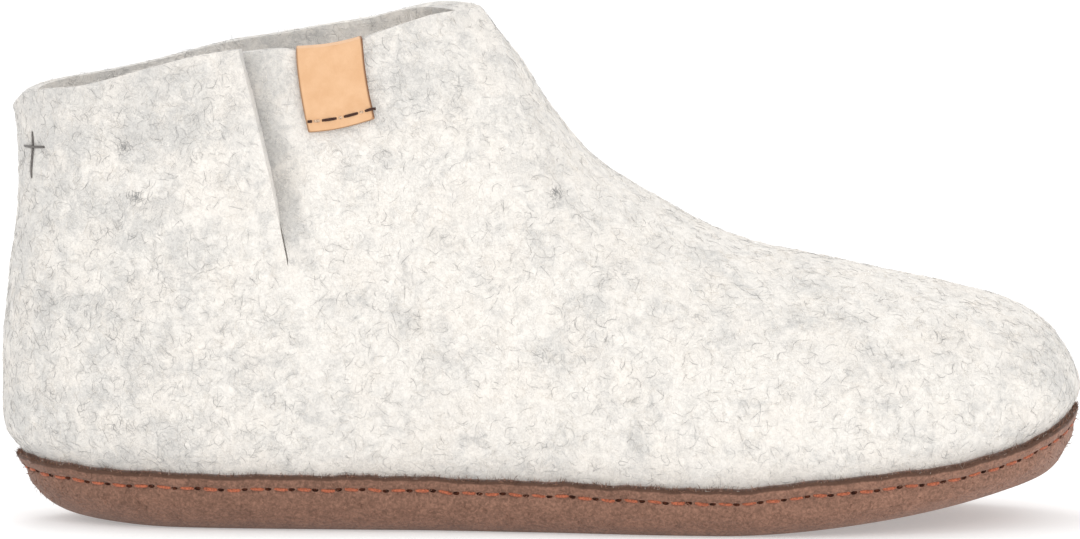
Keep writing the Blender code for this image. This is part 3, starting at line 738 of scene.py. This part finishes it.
def suede_finish(name, look):
    """Suede: brown nap with fine speckle and brushed patches, painted light and shade along its length, and a dark cut
    edge at the lip.
    """
    shader = Shader(name)
    speckle = shader.noise(1300.0, 4.0, 0.75, 0.6)
    patches = shader.noise(240.0, 4.0, 0.65, 0.5)
    spread = shader.math("ADD", shader.math("MULTIPLY", speckle, 0.75), shader.math("MULTIPLY", patches, 0.25))
    stops = ((place, tinted(look.suede, shade)) for place, shade in ((0.38, 0.64), (0.50, 1.0), (0.62, 1.45)))
    colour = shader.ramp(spread, *stops)
    # Painted light and shade: darker toward the heel and lighter toward the toe, after how the light falls along the
    # sole.
    split = shader.add("ShaderNodeSeparateXYZ", {"Vector": shader.place})
    along = shader.add("ShaderNodeMapRange", {"Value": split.outputs["X"], "From Min": -0.13, "From Max": 0.135})
    shade = shader.ramp(along.outputs["Result"], (0.0, 0.93), (0.55, 1.02), (1.0, 1.24))
    colour = shader.mix(1.0, colour, shade, "MULTIPLY")
    edge = shader.attribute("tone")
    ragged = shader.math("ADD", edge, shader.math("MULTIPLY", shader.noise(900.0, 3.0), 0.5))
    dark = shader.ramp(ragged, (0.62, 0.0), (0.95, 0.9))
    colour = shader.mix(dark, colour, tinted(look.suede, 0.40))
    shader.bump(shader.math("ADD", speckle, shader.noise(700.0, 3.0, 0.6)), 0.00030, 0.7)
    return shader.finish(colour, 0.95, Sheen_Weight=0.18, Sheen_Roughness=0.45, Specular_IOR_Level=0.12)


def leather_finish(name, look):
    """Natural leather: fine pores, faint mottling and dark cut edges, with painted shade along one edge where the tone
    asks for it.
    """
    shader = Shader(name)
    mottle = shader.noise(260.0, 4.0, 0.6)
    dull, bright = tinted(look.leather, (0.95, 0.91, 0.86)), tinted(look.leather, (1.03, 1.04, 1.06))
    colour = shader.ramp(mottle, (0.35, dull), (0.65, bright))
    edge = shader.ramp(shader.attribute("tone"), (0.35, 0.0), (0.75, 1.0))
    colour = shader.mix(edge, colour, (0.20, 0.085, 0.035))
    pores = shader.add("ShaderNodeTexVoronoi", {"Vector": shader.place, "Scale": 2300.0}).outputs["Distance"]
    shader.bump(shader.math("ADD", pores, shader.math("MULTIPLY", mottle, 0.8)), 0.00008, 0.6)
    rough = shader.ramp(mottle, (0.3, 0.50), (0.7, 0.62))
    return shader.finish(colour, rough, Specular_IOR_Level=0.40)


def thread_finish(name, colour):
    """Twisted thread: the plies show as a fine ripple in colour and relief."""
    shader = Shader(name)
    plies = shader.noise(2600.0)
    colour = shader.ramp(plies, (0.38, tinted(colour, 0.62)), (0.60, tinted(colour, 1.22)))
    shader.bump(plies, 0.0002, 0.8)
    return shader.finish(colour, 0.72, Specular_IOR_Level=0.25, Sheen_Weight=0.15)


def nap_finish(name, look):
    """Hairs of the suede: each keeps one tone between its dark edge and grey."""
    shader = Shader(name)
    stops = ((place, tinted(look.suede, shade)) for place, shade in ((0.0, 0.45), (0.55, 1.0), (0.85, 1.9)))
    colour = shader.ramp(shader.attribute("tone"), *stops, (1.0, (0.55, 0.50, 0.45)))
    return shader.finish(colour, 0.9, Specular_IOR_Level=0.1)


def hole_shade_finish(name):
    """Painted shade for a needle's hole: the flat dark colour of the recess in shade."""
    shader = Shader(name)
    dark = shader.ramp(shader.noise(900.0), (0.4, (0.022, 0.007, 0.004)), (0.6, (0.07, 0.02, 0.010)))
    return shader.finish(dark, 0.9, Specular_IOR_Level=0.1)


def glowing_paper_finish(name):
    """The stage's white paper with a glow of its own: painted light that lifts the shadows on it and lights the shoe a
    little from below.
    """
    white = (1.0, 1.0, 1.0)
    # The emission is painted light: the paper glows though it is no lamp.
    values = {"Specular_IOR_Level": 0.0, "Emission_Color": white, "Emission_Strength": 0.33}
    return Shader(name).finish(tinted(white, 0.74), 0.9, **values)


def fibre_finish(name, look):
    """Loose wool: each fibre keeps one tone between dark grey and white."""
    shader = Shader(name)
    tone, white = shader.attribute("tone"), tinted(look.felt_light, 1.06)
    colour = shader.ramp(tone, (0.0, (0.33, 0.325, 0.32)), (0.45, (0.60, 0.59, 0.575)), (0.6, white), (1.0, white))
    return shader.finish(colour, 0.9, Sheen_Weight=0.2, Specular_IOR_Level=0.1)


class SlipperLook(bpy.types.PropertyGroup):
    """Colours of the shoe's materials."""

    felt_light: bpy.props.FloatVectorProperty(
        name="Felt", description="Pale ground of the felt", subtype="COLOR", size=3, default=(0.86, 0.822, 0.770)
    )
    # Also the colour of the felt's painted shade toward the heel, the toe, low at the rear and beside the slit.
    felt_grey: bpy.props.FloatVectorProperty(
        name="Felt clouds", description="Grey clouds in the felt", subtype="COLOR", size=3, default=(0.64, 0.622, 0.594)
    )
    felt_warm: bpy.props.FloatVectorProperty(
        name="Felt warmth", description="Faint warm patches", subtype="COLOR", size=3, default=(0.87, 0.817, 0.752)
    )
    suede: bpy.props.FloatVectorProperty(
        name="Suede", description="Colour of the sole", subtype="COLOR", size=3, default=(0.222, 0.120, 0.084)
    )
    thread: bpy.props.FloatVectorProperty(
        name="Thread", description="Colour of the sole's seam", subtype="COLOR", size=3, default=(0.41, 0.115, 0.055)
    )
    leather: bpy.props.FloatVectorProperty(
        name="Leather", description="Colour of the tab", subtype="COLOR", size=3, default=(0.690, 0.418, 0.230)
    )


class SlipperSizes(bpy.types.PropertyGroup):
    """Sizes of the details that the solids leave to the scene."""

    stitch_pitch: bpy.props.FloatProperty(
        name="Stitch pitch", description="Length of one stitch of the sole's seam", default=0.00588, unit="LENGTH"
    )
    thread_width: bpy.props.FloatProperty(
        name="Thread width", description="Thickness of the seam's thread", default=0.00095, unit="LENGTH"
    )
    seam_below_lip: bpy.props.FloatProperty(
        name="Seam below lip", description="Distance of the seam from the lip", default=0.0031, unit="LENGTH"
    )
    tab_width: bpy.props.FloatProperty(
        name="Tab width", description="Width of the leather tab", default=0.0165, unit="LENGTH"
    )
    tab_drop: bpy.props.FloatProperty(
        name="Tab drop", description="Length of the tab below the rim", default=0.0209, unit="LENGTH"
    )
    tab_thickness: bpy.props.FloatProperty(
        name="Tab thickness", description="Thickness of the tab's leather", default=0.0014, unit="LENGTH"
    )
    fibres: bpy.props.IntProperty(name="Fibres", description="Fibres of each kind", default=8000)


def finished(piece, slot_name, *nodes):
    """Hangs a piece on the one body and hides the solids that it stands for. Its slot name is not used."""
    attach(piece, "root")
    if nodes:
        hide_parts(*nodes)
    return piece


def felt_columns(step):
    """The places of the columns, evenly between the stations."""
    return np.arange(round(ALL_STATIONS / step)) * step


def felt_parts(at, edge_rows, lower_rows, upper_rows):
    """The parts of each column at which the felt has its rows. One row follows the suede's lip."""
    edge, end = np.linspace(-1, 0, edge_rows + 1), slit_end()
    lip = part_at_height(at, lip_height(at)[:, None])
    lower = lip + (end - lip) * np.linspace(0, 1, lower_rows + 1)
    upper = np.linspace(end, 1, upper_rows + 1)[1:]
    return np.hstack([np.tile(edge, (len(at), 1)), lower, np.tile(upper, (len(at), 1))])


class SLIPPER_OT_felt(bpy.types.Operator):
    """Makes the felt body of the shoe with its slit"""

    bl_idname = "slipper.felt"
    bl_label = "Felt body"

    def execute(self, context):
        """One sheet over and under the foot, thickened inwards and rounded at its cut edges."""
        look = context.scene.slipper_look
        mesh, at = Mesh(), felt_columns(FELT_STEP)
        parts, above = felt_parts(at, *FELT_ROWS), slice(-FELT_ROWS[-1], None)
        slit = int(np.flatnonzero(np.isclose(at, SLIT_STATION))[0])
        flap = np.arange(len(at)) < slit
        points = dressed_felt(at, parts, flap)
        # The tone holds the wool's clumps and painted shade: toward the heel, the toe, low at the rear and beside the
        # slit.
        grid = mesh.add(points, felt_tone(points, at, parts, flap))
        ridge = np.flatnonzero((one_side(at) <= PEAK_STATION + 1e-6) & (side_sign(at) > 0))
        grid[ridge, -1] = grid[-ridge, -1]
        front, flap[slit] = grid[slit].copy(), True
        points = dressed_felt(at, parts, flap)
        front[above] = mesh.add(points[slit, above], felt_tone(points, at, parts, flap)[slit, above])
        mesh.grid(np.vstack([grid[:slit], front[None]]))
        mesh.grid(np.vstack([grid[slit:], grid[:1]]))
        mesh.across(grid[:, 0], upwards=False)
        piece = mesh.make("felt_body", felt_finish("felt", look))
        give_wall(piece, FELT_WALL, -1.0, RIM_ROUNDING, 4)
        finished(piece, "felt", "upper")
        return {"FINISHED"}


class SLIPPER_OT_sole(bpy.types.Operator):
    """Makes the suede sole with its lip and sewn groove"""

    bl_idname = "slipper.sole"
    bl_label = "Suede sole"

    def execute(self, context):
        """A profile carried round the shoe: up inside, over the lip and down outside."""
        look, sizes = context.scene.slipper_look, context.scene.slipper_sizes
        at = felt_columns(SUEDE_STEP)
        mesh, lip, seam = Mesh(), lip_height(at), sizes.seam_below_lip
        lining = felt_parts(at, 3, 1, 1)[:, :5]
        inside = felt_layer(at, lining, -FIT_GAP * 0.7)
        rows = [mesh.add(inside[:, k]) for k in range(5)]
        outer, places = FIT_GAP + SUEDE_WALL, outline(at)
        fray = lumps(places, 0.0021, 11)
        profile = (
            ("below", "proud", "edge"),
            (0.0000, -0.00120, 1.0),
            (-0.0001, -0.00070, 1.0),
            (0.0000, -0.00025, 1.0),
            (0.0003, 0.00000, 0.85),
            (0.0007, 0.00008, 0.45),
            (0.0012, 0.00010, 0.0),
            (seam - 0.0010, 0.00005, 0.0),
            (seam - 0.0005, -0.00010, 0.0),
            (seam - 0.0002, -0.00035, 0.0),
            (seam + 0.0002, -0.00035, 0.0),
            (seam + 0.0005, -0.00010, 0.0),
            (seam + 0.0012, 0.00020, 0.0),
            (seam + 0.0022, 0.00060, 0.0),
            (seam + 0.0034, 0.00090, 0.0),
        )
        below = column_of(profile, "below")
        ragged = fray[:, None] * LIP_FRAY * column_of(profile, "edge")
        parts = part_at_height(at, lip[:, None] - below + ragged)
        soft = SUEDE_LUMPS * lumps(places, 0.007, 12)
        for column, (_, proud, edge) in enumerate(profile[1:]):
            part = parts[:, column : column + 1]
            depth = -outer - proud - (LIP_FRAY * fray * edge + soft)
            rows.append(mesh.add(felt_layer(at, part, depth[:, None])[:, 0], edge))
        for share in np.linspace(0, 1, 15)[1:]:
            down = part * (1 - share) - share
            full = outer + SUEDE_FULLNESS
            depth = full + (SOLE_BASE - full) * share**2
            uneven = UNDERSIDE_LUMPS * lumps(places + share * 0.02, 0.009, 13) * (1 - share)
            rows.append(mesh.add(felt_layer(at, down, (-depth - uneven)[:, None])[:, 0]))
        mesh.grid(np.stack(rows, axis=1)[:, ::-1], closed=True)
        mesh.across(rows[0], upwards=True)
        mesh.across(rows[-1], upwards=False)
        finished(mesh.make("suede_sole", suede_finish("suede", look)), "suede", "sole")
        self.nap(at, lip, look)
        return {"FINISHED"}

    def nap(self, at, lip, look):
        """Short hairs on the suede: two in three stand on the cut edge and the others lie below it."""
        count, random = NAP_HAIRS, np.random.default_rng(61)
        place = random.uniform(0, ALL_STATIONS, count)
        high = np.interp(place, np.append(at, ALL_STATIONS), np.append(lip, lip[0]))
        on_edge = random.random(count) < NAP_ON_EDGE
        below = np.where(on_edge, random.uniform(-0.0001, 0.0006, count), random.uniform(0.0010, 0.0095, count))
        part = part_at_height(place, (high - below)[:, None])
        inwards = np.where(on_edge, random.uniform(0.2, 1.1, count), 0.0) * 0.0010
        depth = inwards - (FIT_GAP + SUEDE_WALL) - SUEDE_FULLNESS * smooth((below - 0.0040) / 0.0025)
        root, out = felt_layer(place, part, depth[:, None])[:, 0], felt_normals(place, part)[:, 0]
        way = unit(random.normal(size=(count, 3)) * 0.7 + out * 0.15 + np.array([0, 0, 0.9]) * on_edge[:, None])
        bend, share = unit(np.cross(out, way)), np.linspace(0, 1, 4)[None, :, None]
        long = random.uniform(0.0006, 0.0016, (count, 1, 1))
        path = root[:, None] + way[:, None] * long * share
        path = path + bend[:, None] * random.normal(0, 0.35, (count, 1, 1)) * long * share**2
        radius = random.uniform(0.00004, 0.00009, (count, 1)) * np.array([1.0, 0.9, 0.7, 0.3])
        tones = np.where(on_edge, random.uniform(0.0, 1.0, count) ** 1.3, random.uniform(0.3, 0.85, count))
        finished(hairs(path, out, radius, tones).make("suede_nap", nap_finish("suede_nap", look)), "suede")


def seam_frame(sizes, count):
    """Evenly spaced places on the sole's seam: the point, the way along, the way up and the way out."""
    at = np.linspace(0, ALL_STATIONS, 1441)[:-1]
    part = part_at_height(at, (lip_height(at) - sizes.seam_below_lip)[:, None])
    depth = -(FIT_GAP + SUEDE_WALL - THREAD_IN_GROOVE)
    points, out = felt_layer(at, part, depth)[:, 0], felt_normals(at, part)[:, 0]
    points, out = np.vstack([points, points[:1]]), np.vstack([out, out[:1]])
    run = np.append(0, np.cumsum(np.linalg.norm(np.diff(points, axis=0), axis=1)))
    places = (np.arange(count) / count) * run[-1]
    point, outward = (
        np.stack([np.interp(places, run, line[:, k]) for k in range(3)], axis=1) for line in (points, out)
    )
    along, outward = unit(np.roll(point, -1, 0) - np.roll(point, 1, 0)), unit(outward)
    return point, along, unit(np.cross(along, outward)), outward, run[-1]


class SLIPPER_OT_seam(bpy.types.Operator):
    """Sews the suede to the felt with a row of stitches"""

    bl_idname = "slipper.seam"
    bl_label = "Sole seam"

    def execute(self, context):
        """Each stitch is a tube that rises from one hole and dives into the next."""
        look, sizes = context.scene.slipper_look, context.scene.slipper_sizes
        length = seam_frame(sizes, 8)[4]
        count = int(round(length / sizes.stitch_pitch))
        lines = seam_frame(sizes, count * STITCH_STEPS)[:4]
        point, along, up, out = (line.reshape(count, STITCH_STEPS, 3) for line in lines)
        share = (np.arange(STITCH_STEPS) + 0.5) / STITCH_STEPS - 0.5
        shown = np.abs(share) < STITCH_REACH
        share, to_end = share[shown], np.abs(share[shown]) / STITCH_REACH
        rise = STITCH_RISE * (1 - to_end**4) - STITCH_SUNK
        random = np.random.default_rng(21)
        tilt = random.uniform(-0.00012, 0.00012, count)[:, None]
        slope = share * random.uniform(0.0001, 0.0005, count)[:, None]
        path = point[:, shown] + out[:, shown] * rise[:, None] + up[:, shown] * (tilt + slope)[..., None]
        radius = sizes.thread_width / 2 * (1 - 0.55 * to_end**3) * random.uniform(0.9, 1.12, count)[:, None]
        mesh = sweep(path, up[:, shown], out[:, shown], radius, 0.0)
        finished(mesh.make("seam_thread", thread_finish("seam_thread", look.thread)), "suede")
        # Painted shade: a small dark patch just proud of the suede at each needle hole, where the hole's recess lies in
        # shade.
        share = np.linspace(-1, 1, 7)
        path = point[:, :1] + along[:, :1] * (share * HOLE_HALF_LENGTH)[:, None] + out[:, :1] * HOLE_PROUD
        width = HOLE_HALF_WIDTH * np.sqrt(np.clip(1 - share**2, 0.02, 1))
        mesh = sweep(path, up[:, :1] + 0 * path, out[:, :1] * 0.45 + 0 * path, width, 0.0)
        finished(mesh.make("hole_shade_patches", hole_shade_finish("hole_shade_material")), "suede")
        return {"FINISHED"}


def tab_centre():
    """Where the tab's middle crosses the rim, along the shoe."""
    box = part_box("tab")
    return float(box[0][0] + box[1][0]) / 2 - TAB_LEAN / 2


def tab_points(sizes, across, drop, depth):
    """Points of the tab's strap: across its width and down from the rim, leaning forward."""
    shape = np.broadcast_shapes(across.shape, drop.shape)
    across, drop = np.broadcast_to(across, shape).ravel(), np.broadcast_to(drop, shape).ravel()
    x = tab_centre() + across + TAB_LEAN * (drop / sizes.tab_drop) ** 1.6
    points, normals = below_rim(x, drop, depth)
    return points.reshape(*shape, 3), normals.reshape(*shape, 3)


class SLIPPER_OT_tab(bpy.types.Operator):
    """Folds the leather tab over the collar and sews it down"""

    bl_idname = "slipper.tab"
    bl_label = "Leather tab"

    def execute(self, context):
        """A sheet up the outside, over the rim and down the inside, thickened outwards."""
        look, sizes = context.scene.slipper_look, context.scene.slipper_sizes
        across = np.linspace(-0.5, 0.5, 17)[None] * sizes.tab_width
        drops = np.linspace(sizes.tab_drop, TAB_FOLD_RISE + TAB_PRESS, 26)[:, None]
        outer = tab_points(sizes, across, drops, -FIT_GAP - 0.0001)[0]
        inner = tab_points(sizes, across, drops[::-1], FELT_WALL + FIT_GAP)[0]
        loose = 1 - np.exp(-(((drops - sizes.tab_drop + TAB_SEAM_UP) / 0.0012) ** 2))
        share = np.linspace(0, 1, 9)[:, None, None]
        over = outer[-1] * (1 - share) + inner[0] * share
        over[..., 2] += TAB_FOLD_RISE + 0.0001 + TAB_FOLD_ARCH * np.sin(np.pi * share[..., 0])
        outer[..., 1] -= (TAB_CORNER_LIFT * (across / sizes.tab_width * 2) ** 2 + TAB_BELLY) * loose
        points = np.concatenate([outer, over, inner])
        mesh = Mesh()
        # The cut edges are dark leather; the edge toward the toe gets a higher tone than the other, painted shade along
        # that side.
        cut = np.where(across > 0, 1.0, 0.6) * (np.abs(across / sizes.tab_width) > 0.499)
        tone = np.broadcast_to(cut, points.shape[:2]).copy()
        tone[0] = tone[-1] = 0.6
        mesh.grid(mesh.add(points, tone))
        piece = mesh.make("leather_tab", leather_finish("tab_leather", look))
        give_wall(piece, sizes.tab_thickness, 1.0, TAB_ROUNDING, 2)
        finished(piece, "tab_leather", "tab")
        self.sew(sizes)
        return {"FINISHED"}

    def sew(self, sizes):
        """Dashes of dark thread along the tab's lower edge, with short pale dashes between them."""
        dark = ((-0.0078, -0.0066), (-0.0042, -0.0006), (0.0012, 0.0047), (0.0064, 0.0091))
        pale = ((-0.0062, -0.0047), (-0.0001, 0.0008), (0.0051, 0.0060))
        self.dashes(sizes, dark, "tab_stitches", (0.050, 0.018, 0.010))
        self.dashes(sizes, pale, "tab_pale_dashes", (0.62, 0.44, 0.30))

    def dashes(self, sizes, places, name, colour):
        """Short tubes of thread from place to place across the tab."""
        share = np.linspace(0, 1, 9)
        across = np.linspace(*np.array(places).T, 9, axis=1)
        edge = np.clip(across, -sizes.tab_width / 2, sizes.tab_width / 2)
        drop, depth = np.array(sizes.tab_drop - TAB_SEAM_UP), -FIT_GAP - sizes.tab_thickness
        path, out = tab_points(sizes, edge, drop, depth)
        arch = np.sin(np.pi * np.clip(share, 0.04, 0.96)) ** 0.5 * 0.00055 - 0.00025
        beyond = (across - edge)[..., None] * np.array([1.0, 0.6, 0.0])
        mesh = threads(path + out * arch[:, None] + beyond, out, TAB_THREAD_RADIUS)
        finished(mesh.make(name, thread_finish(name, colour)), "tab_leather")


class SLIPPER_OT_tack(bpy.types.Operator):
    """Makes the plain hand-sewn tack near the heel's top"""

    bl_idname = "slipper.tack"
    bl_label = "Heel tack"

    def execute(self, context):
        """Two stitches lie across each other on the felt. Their ends sink into it."""
        share = np.linspace(0, 1, 15)
        upright = ((-0.1268, 0.0985), (-0.1267, 0.0868))
        level = ((-0.1291, 0.0946), (-0.1233, 0.0949))
        paths, normals = [], []
        for (x0, z0), (x1, z1) in (upright, level):
            x, z = x0 + (x1 - x0) * share, z0 + (z1 - z0) * share
            x = x + 0.00025 * np.sin(share * 5.0)
            points, out = on_felt(x, z, np.full(len(x), HEEL_STATION - 0.9), 0.0)
            points = points + out * felt_relief(points)[:, None]
            lift = 0.00035 * np.sin(np.pi * share) ** 0.4 - 0.00012
            paths.append(points + out * lift[:, None])
            normals.append(out)
        path, out = np.stack(paths), np.stack(normals)
        path[1] += out[1] * 0.0004 * np.exp(-(((share - 0.42) / 0.2) ** 2))[:, None]
        finish = thread_finish("tack_thread", (0.140, 0.128, 0.120))
        finished(threads(path, out, TACK_RADIUS).make("heel_tack", finish), "felt")
        return {"FINISHED"}


class SLIPPER_OT_fibres(bpy.types.Operator):
    """Scatters loose wool fibres over the felt"""

    bl_idname = "slipper.fibres"
    bl_label = "Loose fibres"

    def execute(self, context):
        """Thin tapered tubes: some lie curled on the felt and some stand a little off it."""
        look, sizes = context.scene.slipper_look, context.scene.slipper_sizes
        finish = fibre_finish("wool_fibre", look)
        random = np.random.default_rng(31)
        for name, *kind in (
            ("dark_fibres", (0.0012, 0.0038), (0.00003, 0.00006), 0.10, 0.00003, (0.0, 0.45)),
            ("pale_fibres", (0.0014, 0.0042), (0.00003, 0.00007), 0.12, 0.00006, (0.6, 1.0)),
            ("loose_fibres", (0.0008, 0.0022), (0.00002, 0.00004), 1.0, -0.0001, (0.4, 1.0)),
        ):
            finished(self.scatter(random, sizes.fibres, *kind).make(name, finish), "felt")
        finished(self.flecks(random).make("dark_flecks", finish), "felt")
        return {"FINISHED"}

    def flecks(self, random):
        """Three small tufts of dark wool at their places on the outer side: short crossed fibres."""
        places = ((-0.1001, 0.0833, 0.0012, 44), (-0.1031, 0.0960, 0.0010, 26), (0.0043, 0.0845, 0.0009, 24))
        paths, normals = [], []
        for x, z, size, count in places:
            spread = random.normal(0, 1, (2, count)) * size * np.array([[1.0], [0.7]])
            guess = np.full(count, HEEL_STATION - 2.0 if x < -0.05 else PEAK_STATION - 2.0)
            root, out = on_felt(x + spread[0], z + spread[1], guess, 0.0)
            root = root + out * (felt_relief(root)[:, None] + 0.00006)
            way = unit(np.cross(out, random.normal(size=(count, 3))))
            bend, share = np.cross(out, way)[:, None], np.linspace(-0.5, 0.5, 4)[None, :, None]
            long = random.uniform(0.0007, 0.0022, (count, 1, 1))
            curl = random.normal(0, 0.9, (count, 1, 1)) * long
            paths.append(root[:, None] + way[:, None] * long * share + bend * curl * share**2)
            normals.append(out)
        path, radius = np.concatenate(paths), 0.00006 * np.sin(np.pi * np.linspace(0.15, 0.85, 4))
        return hairs(path, np.concatenate(normals), radius, random.uniform(0.0, 0.25, len(path)))

    def scatter(self, random, count, lengths, radii, stand, lift, tones):
        """Fibres on the felt: P + s T + curl s squared B + stand s N. Dark ones crowd where the felt's tone is high: in
        its grey clumps and in its painted shade.

        At the collar some move to the inner face and some onto the rim's cut edge.
        """
        at = felt_columns(FIBRE_STEP)
        flap, parts = at < SLIT_STATION - 1e-6, felt_parts(at, *FIBRE_ROWS)[:, 2:]
        points, normals = dressed_felt(at, parts, flap), felt_normals(at, parts)
        here = points[:, :-1]
        cell = np.linalg.norm(np.cross(np.roll(here, -1, 0) - here, points[:, 1:] - here), axis=-1)
        cell[np.flatnonzero(np.isclose(at, SLIT_STATION - FIBRE_STEP))] = 0.0
        cell[:, -1] *= np.where(one_side(at) > PEAK_STATION, RIM_CROWDING, 1.0)
        # Dark fibres follow the tone, so they also gather in its painted shade.
        cell = cell * (0.35 + smooth(felt_tone(here, at, parts[:, :-1], flap) * 1.2 - 0.1)) if tones[0] < 0.1 else cell
        chosen = random.choice(cell.size, count, p=(cell / cell.sum()).ravel())
        i, j = np.unravel_index(chosen, cell.shape)
        u, v = random.random((2, count, 1))
        ahead = (i + 1) % len(at)
        root = (1 - u) * ((1 - v) * points[i, j] + v * points[i, j + 1])
        root = root + u * ((1 - v) * points[ahead, j] + v * points[ahead, j + 1])
        out = unit((1 - u) * normals[i, j] + u * normals[ahead, j])
        choice = random.random(count)
        at_collar = one_side(at[i]) > PEAK_STATION
        inside = (at_collar & (root[:, 2] > LINING_FROM_HEIGHT) & (choice < LINING_SHARE))[:, None]
        root, out = np.where(inside, root - out * FELT_WALL, root), np.where(inside, -out, out)
        on_rim = (at_collar & (j == here.shape[1] - 1) & (choice > 1 - RIM_SHARE))[:, None]
        rim = (1 - u) * points[i, -1] + u * points[ahead, -1] - out * FELT_WALL * (0.15 + 0.7 * v)
        root, out = np.where(on_rim, rim, root), np.where(on_rim, np.array([0.0, 0.0, 1.0]), out)
        way = unit(np.cross(out, unit(random.normal(size=(count, 3)))))
        bend, share = np.cross(out, way), np.linspace(0, 1, 4)[None, :, None]
        long = random.uniform(*lengths, (count, 1, 1))
        curl = random.normal(0, 0.9, (count, 1, 1)) * long
        high = stand * random.uniform(0.1, 0.6, (count, 1, 1)) * long
        path = root[:, None] + way[:, None] * long * (share - 0.5) + bend[:, None] * curl * (share - 0.5) ** 2
        path = path + out[:, None] * (lift + high * share)
        radius = random.uniform(*radii, (count, 1)) * np.sin(np.pi * np.linspace(0.15, 0.85, 4))
        return hairs(path, out, radius, random.uniform(*tones, count))


class SLIPPER_OT_insole(bpy.types.Operator):
    """Gives the insole its felt finish"""

    bl_idname = "slipper.insole"
    bl_label = "Insole finish"

    def execute(self, context):
        """The solid keeps its shape and takes a darker felt."""
        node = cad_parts["insole"]
        node.data.materials.clear()
        node.data.materials.append(felt_finish("insole_felt", context.scene.slipper_look, tint=0.82))
        return {"FINISHED"}


class SLIPPER_OT_stage(bpy.types.Operator):
    """Sets up the floor, the lights and the camera"""

    bl_idname = "slipper.stage"
    bl_label = "Stage"

    def execute(self, context):
        """A pale floor, a white surround and soft lights, seen through a long lens."""
        scene = context.scene
        mesh = bpy.data.meshes.new("floor")
        size = 30.0
        mesh.from_pydata([(-size, -size, 0), (size, -size, 0), (size, size, 0), (-size, size, 0)], [], [(0, 1, 2, 3)])
        floor = bpy.data.objects.new("floor", mesh)
        scene.collection.objects.link(floor)
        mesh.materials.append(glowing_paper_finish("floor_paper"))
        world = bpy.data.worlds.new("surround")
        world.use_nodes = True
        sky = world.node_tree.nodes["Background"].inputs
        sky["Color"].default_value, sky["Strength"].default_value = (1.0, 1.0, 1.0, 1.0), 1.0
        scene.world = world
        for name, place, aim, size, power in (
            ("key", (0.6, -1.9, 0.8), (0.03, 0.0, 0.05), 1.1, 10.0),
            ("side", (-1.5, -1.2, 0.9), (-0.05, 0.0, 0.06), 0.6, 3.0),
            ("back", (-0.3, 0.9, 1.3), (0.0, 0.0, 0.0), 0.6, 4.5),
        ):
            self.lamp(scene, name, place, aim, size, power)
        scene.view_settings.view_transform = "Standard"
        self.camera(scene)
        return {"FINISHED"}

    def lamp(self, scene, name, place, aim, size, power):
        """A square area light turned to its aim."""
        light = bpy.data.lights.new(name, "AREA")
        light.energy, light.size = power, size
        lamp = bpy.data.objects.new(name, light)
        lamp.location = place
        way = type(lamp.location)(aim) - lamp.location
        lamp.rotation_euler = way.to_track_quat("-Z", "Y").to_euler()
        scene.collection.objects.link(lamp)

    def camera(self, scene):
        """A long lens square to the shoe's side and five degrees above it."""
        lens = bpy.data.cameras.new("camera")
        lens.lens, lens.sensor_width, lens.sensor_fit = 300.0, 36.0, "HORIZONTAL"
        away = VIEW_WIDTH * lens.lens / lens.sensor_width
        lens.clip_start, lens.clip_end = 0.1, 100.0
        camera = bpy.data.objects.new("camera", lens)
        x, z = VIEW_MIDDLE
        camera.location = (x, -away * np.cos(VIEW_TILT), z + away * np.sin(VIEW_TILT))
        camera.rotation_euler = (np.pi / 2 - VIEW_TILT, 0.0, 0.0)
        scene.collection.objects.link(camera)
        scene.camera = camera


class SLIPPER_PT_panel(bpy.types.Panel):
    """Lists the slipper's pieces in the sidebar"""

    bl_label = "Felt Slipper"
    bl_idname = "SLIPPER_PT_panel"
    bl_space_type = "VIEW_3D"
    bl_region_type = "UI"
    bl_category = "Felt Slipper"

    def draw(self, context):
        """Shows the colours, the sizes and one button a piece."""
        for group in (context.scene.slipper_look, context.scene.slipper_sizes):
            for name in group.__annotations__:
                self.layout.prop(group, name)
        for operator in OPERATORS:
            self.layout.operator(operator.bl_idname)


OPERATORS = (
    SLIPPER_OT_stage,
    SLIPPER_OT_felt,
    SLIPPER_OT_sole,
    SLIPPER_OT_seam,
    SLIPPER_OT_tab,
    SLIPPER_OT_tack,
    SLIPPER_OT_insole,
    SLIPPER_OT_fibres,
)
CLASSES = (SlipperLook, SlipperSizes, *OPERATORS, SLIPPER_PT_panel)


def register():
    """Adds the classes and the scene's settings."""
    for item in CLASSES:
        bpy.utils.register_class(item)
    bpy.types.Scene.slipper_look = bpy.props.PointerProperty(type=SlipperLook)
    bpy.types.Scene.slipper_sizes = bpy.props.PointerProperty(type=SlipperSizes)


def unregister():
    """Takes them away again."""
    del bpy.types.Scene.slipper_look, bpy.types.Scene.slipper_sizes
    for item in reversed(CLASSES):
        bpy.utils.unregister_class(item)


def main():
    """Makes every piece."""
    register()
    for operator in OPERATORS:
        group, name = operator.bl_idname.split(".")
        getattr(getattr(bpy.ops, group), name)()


if __name__ == "__main__":
    main()
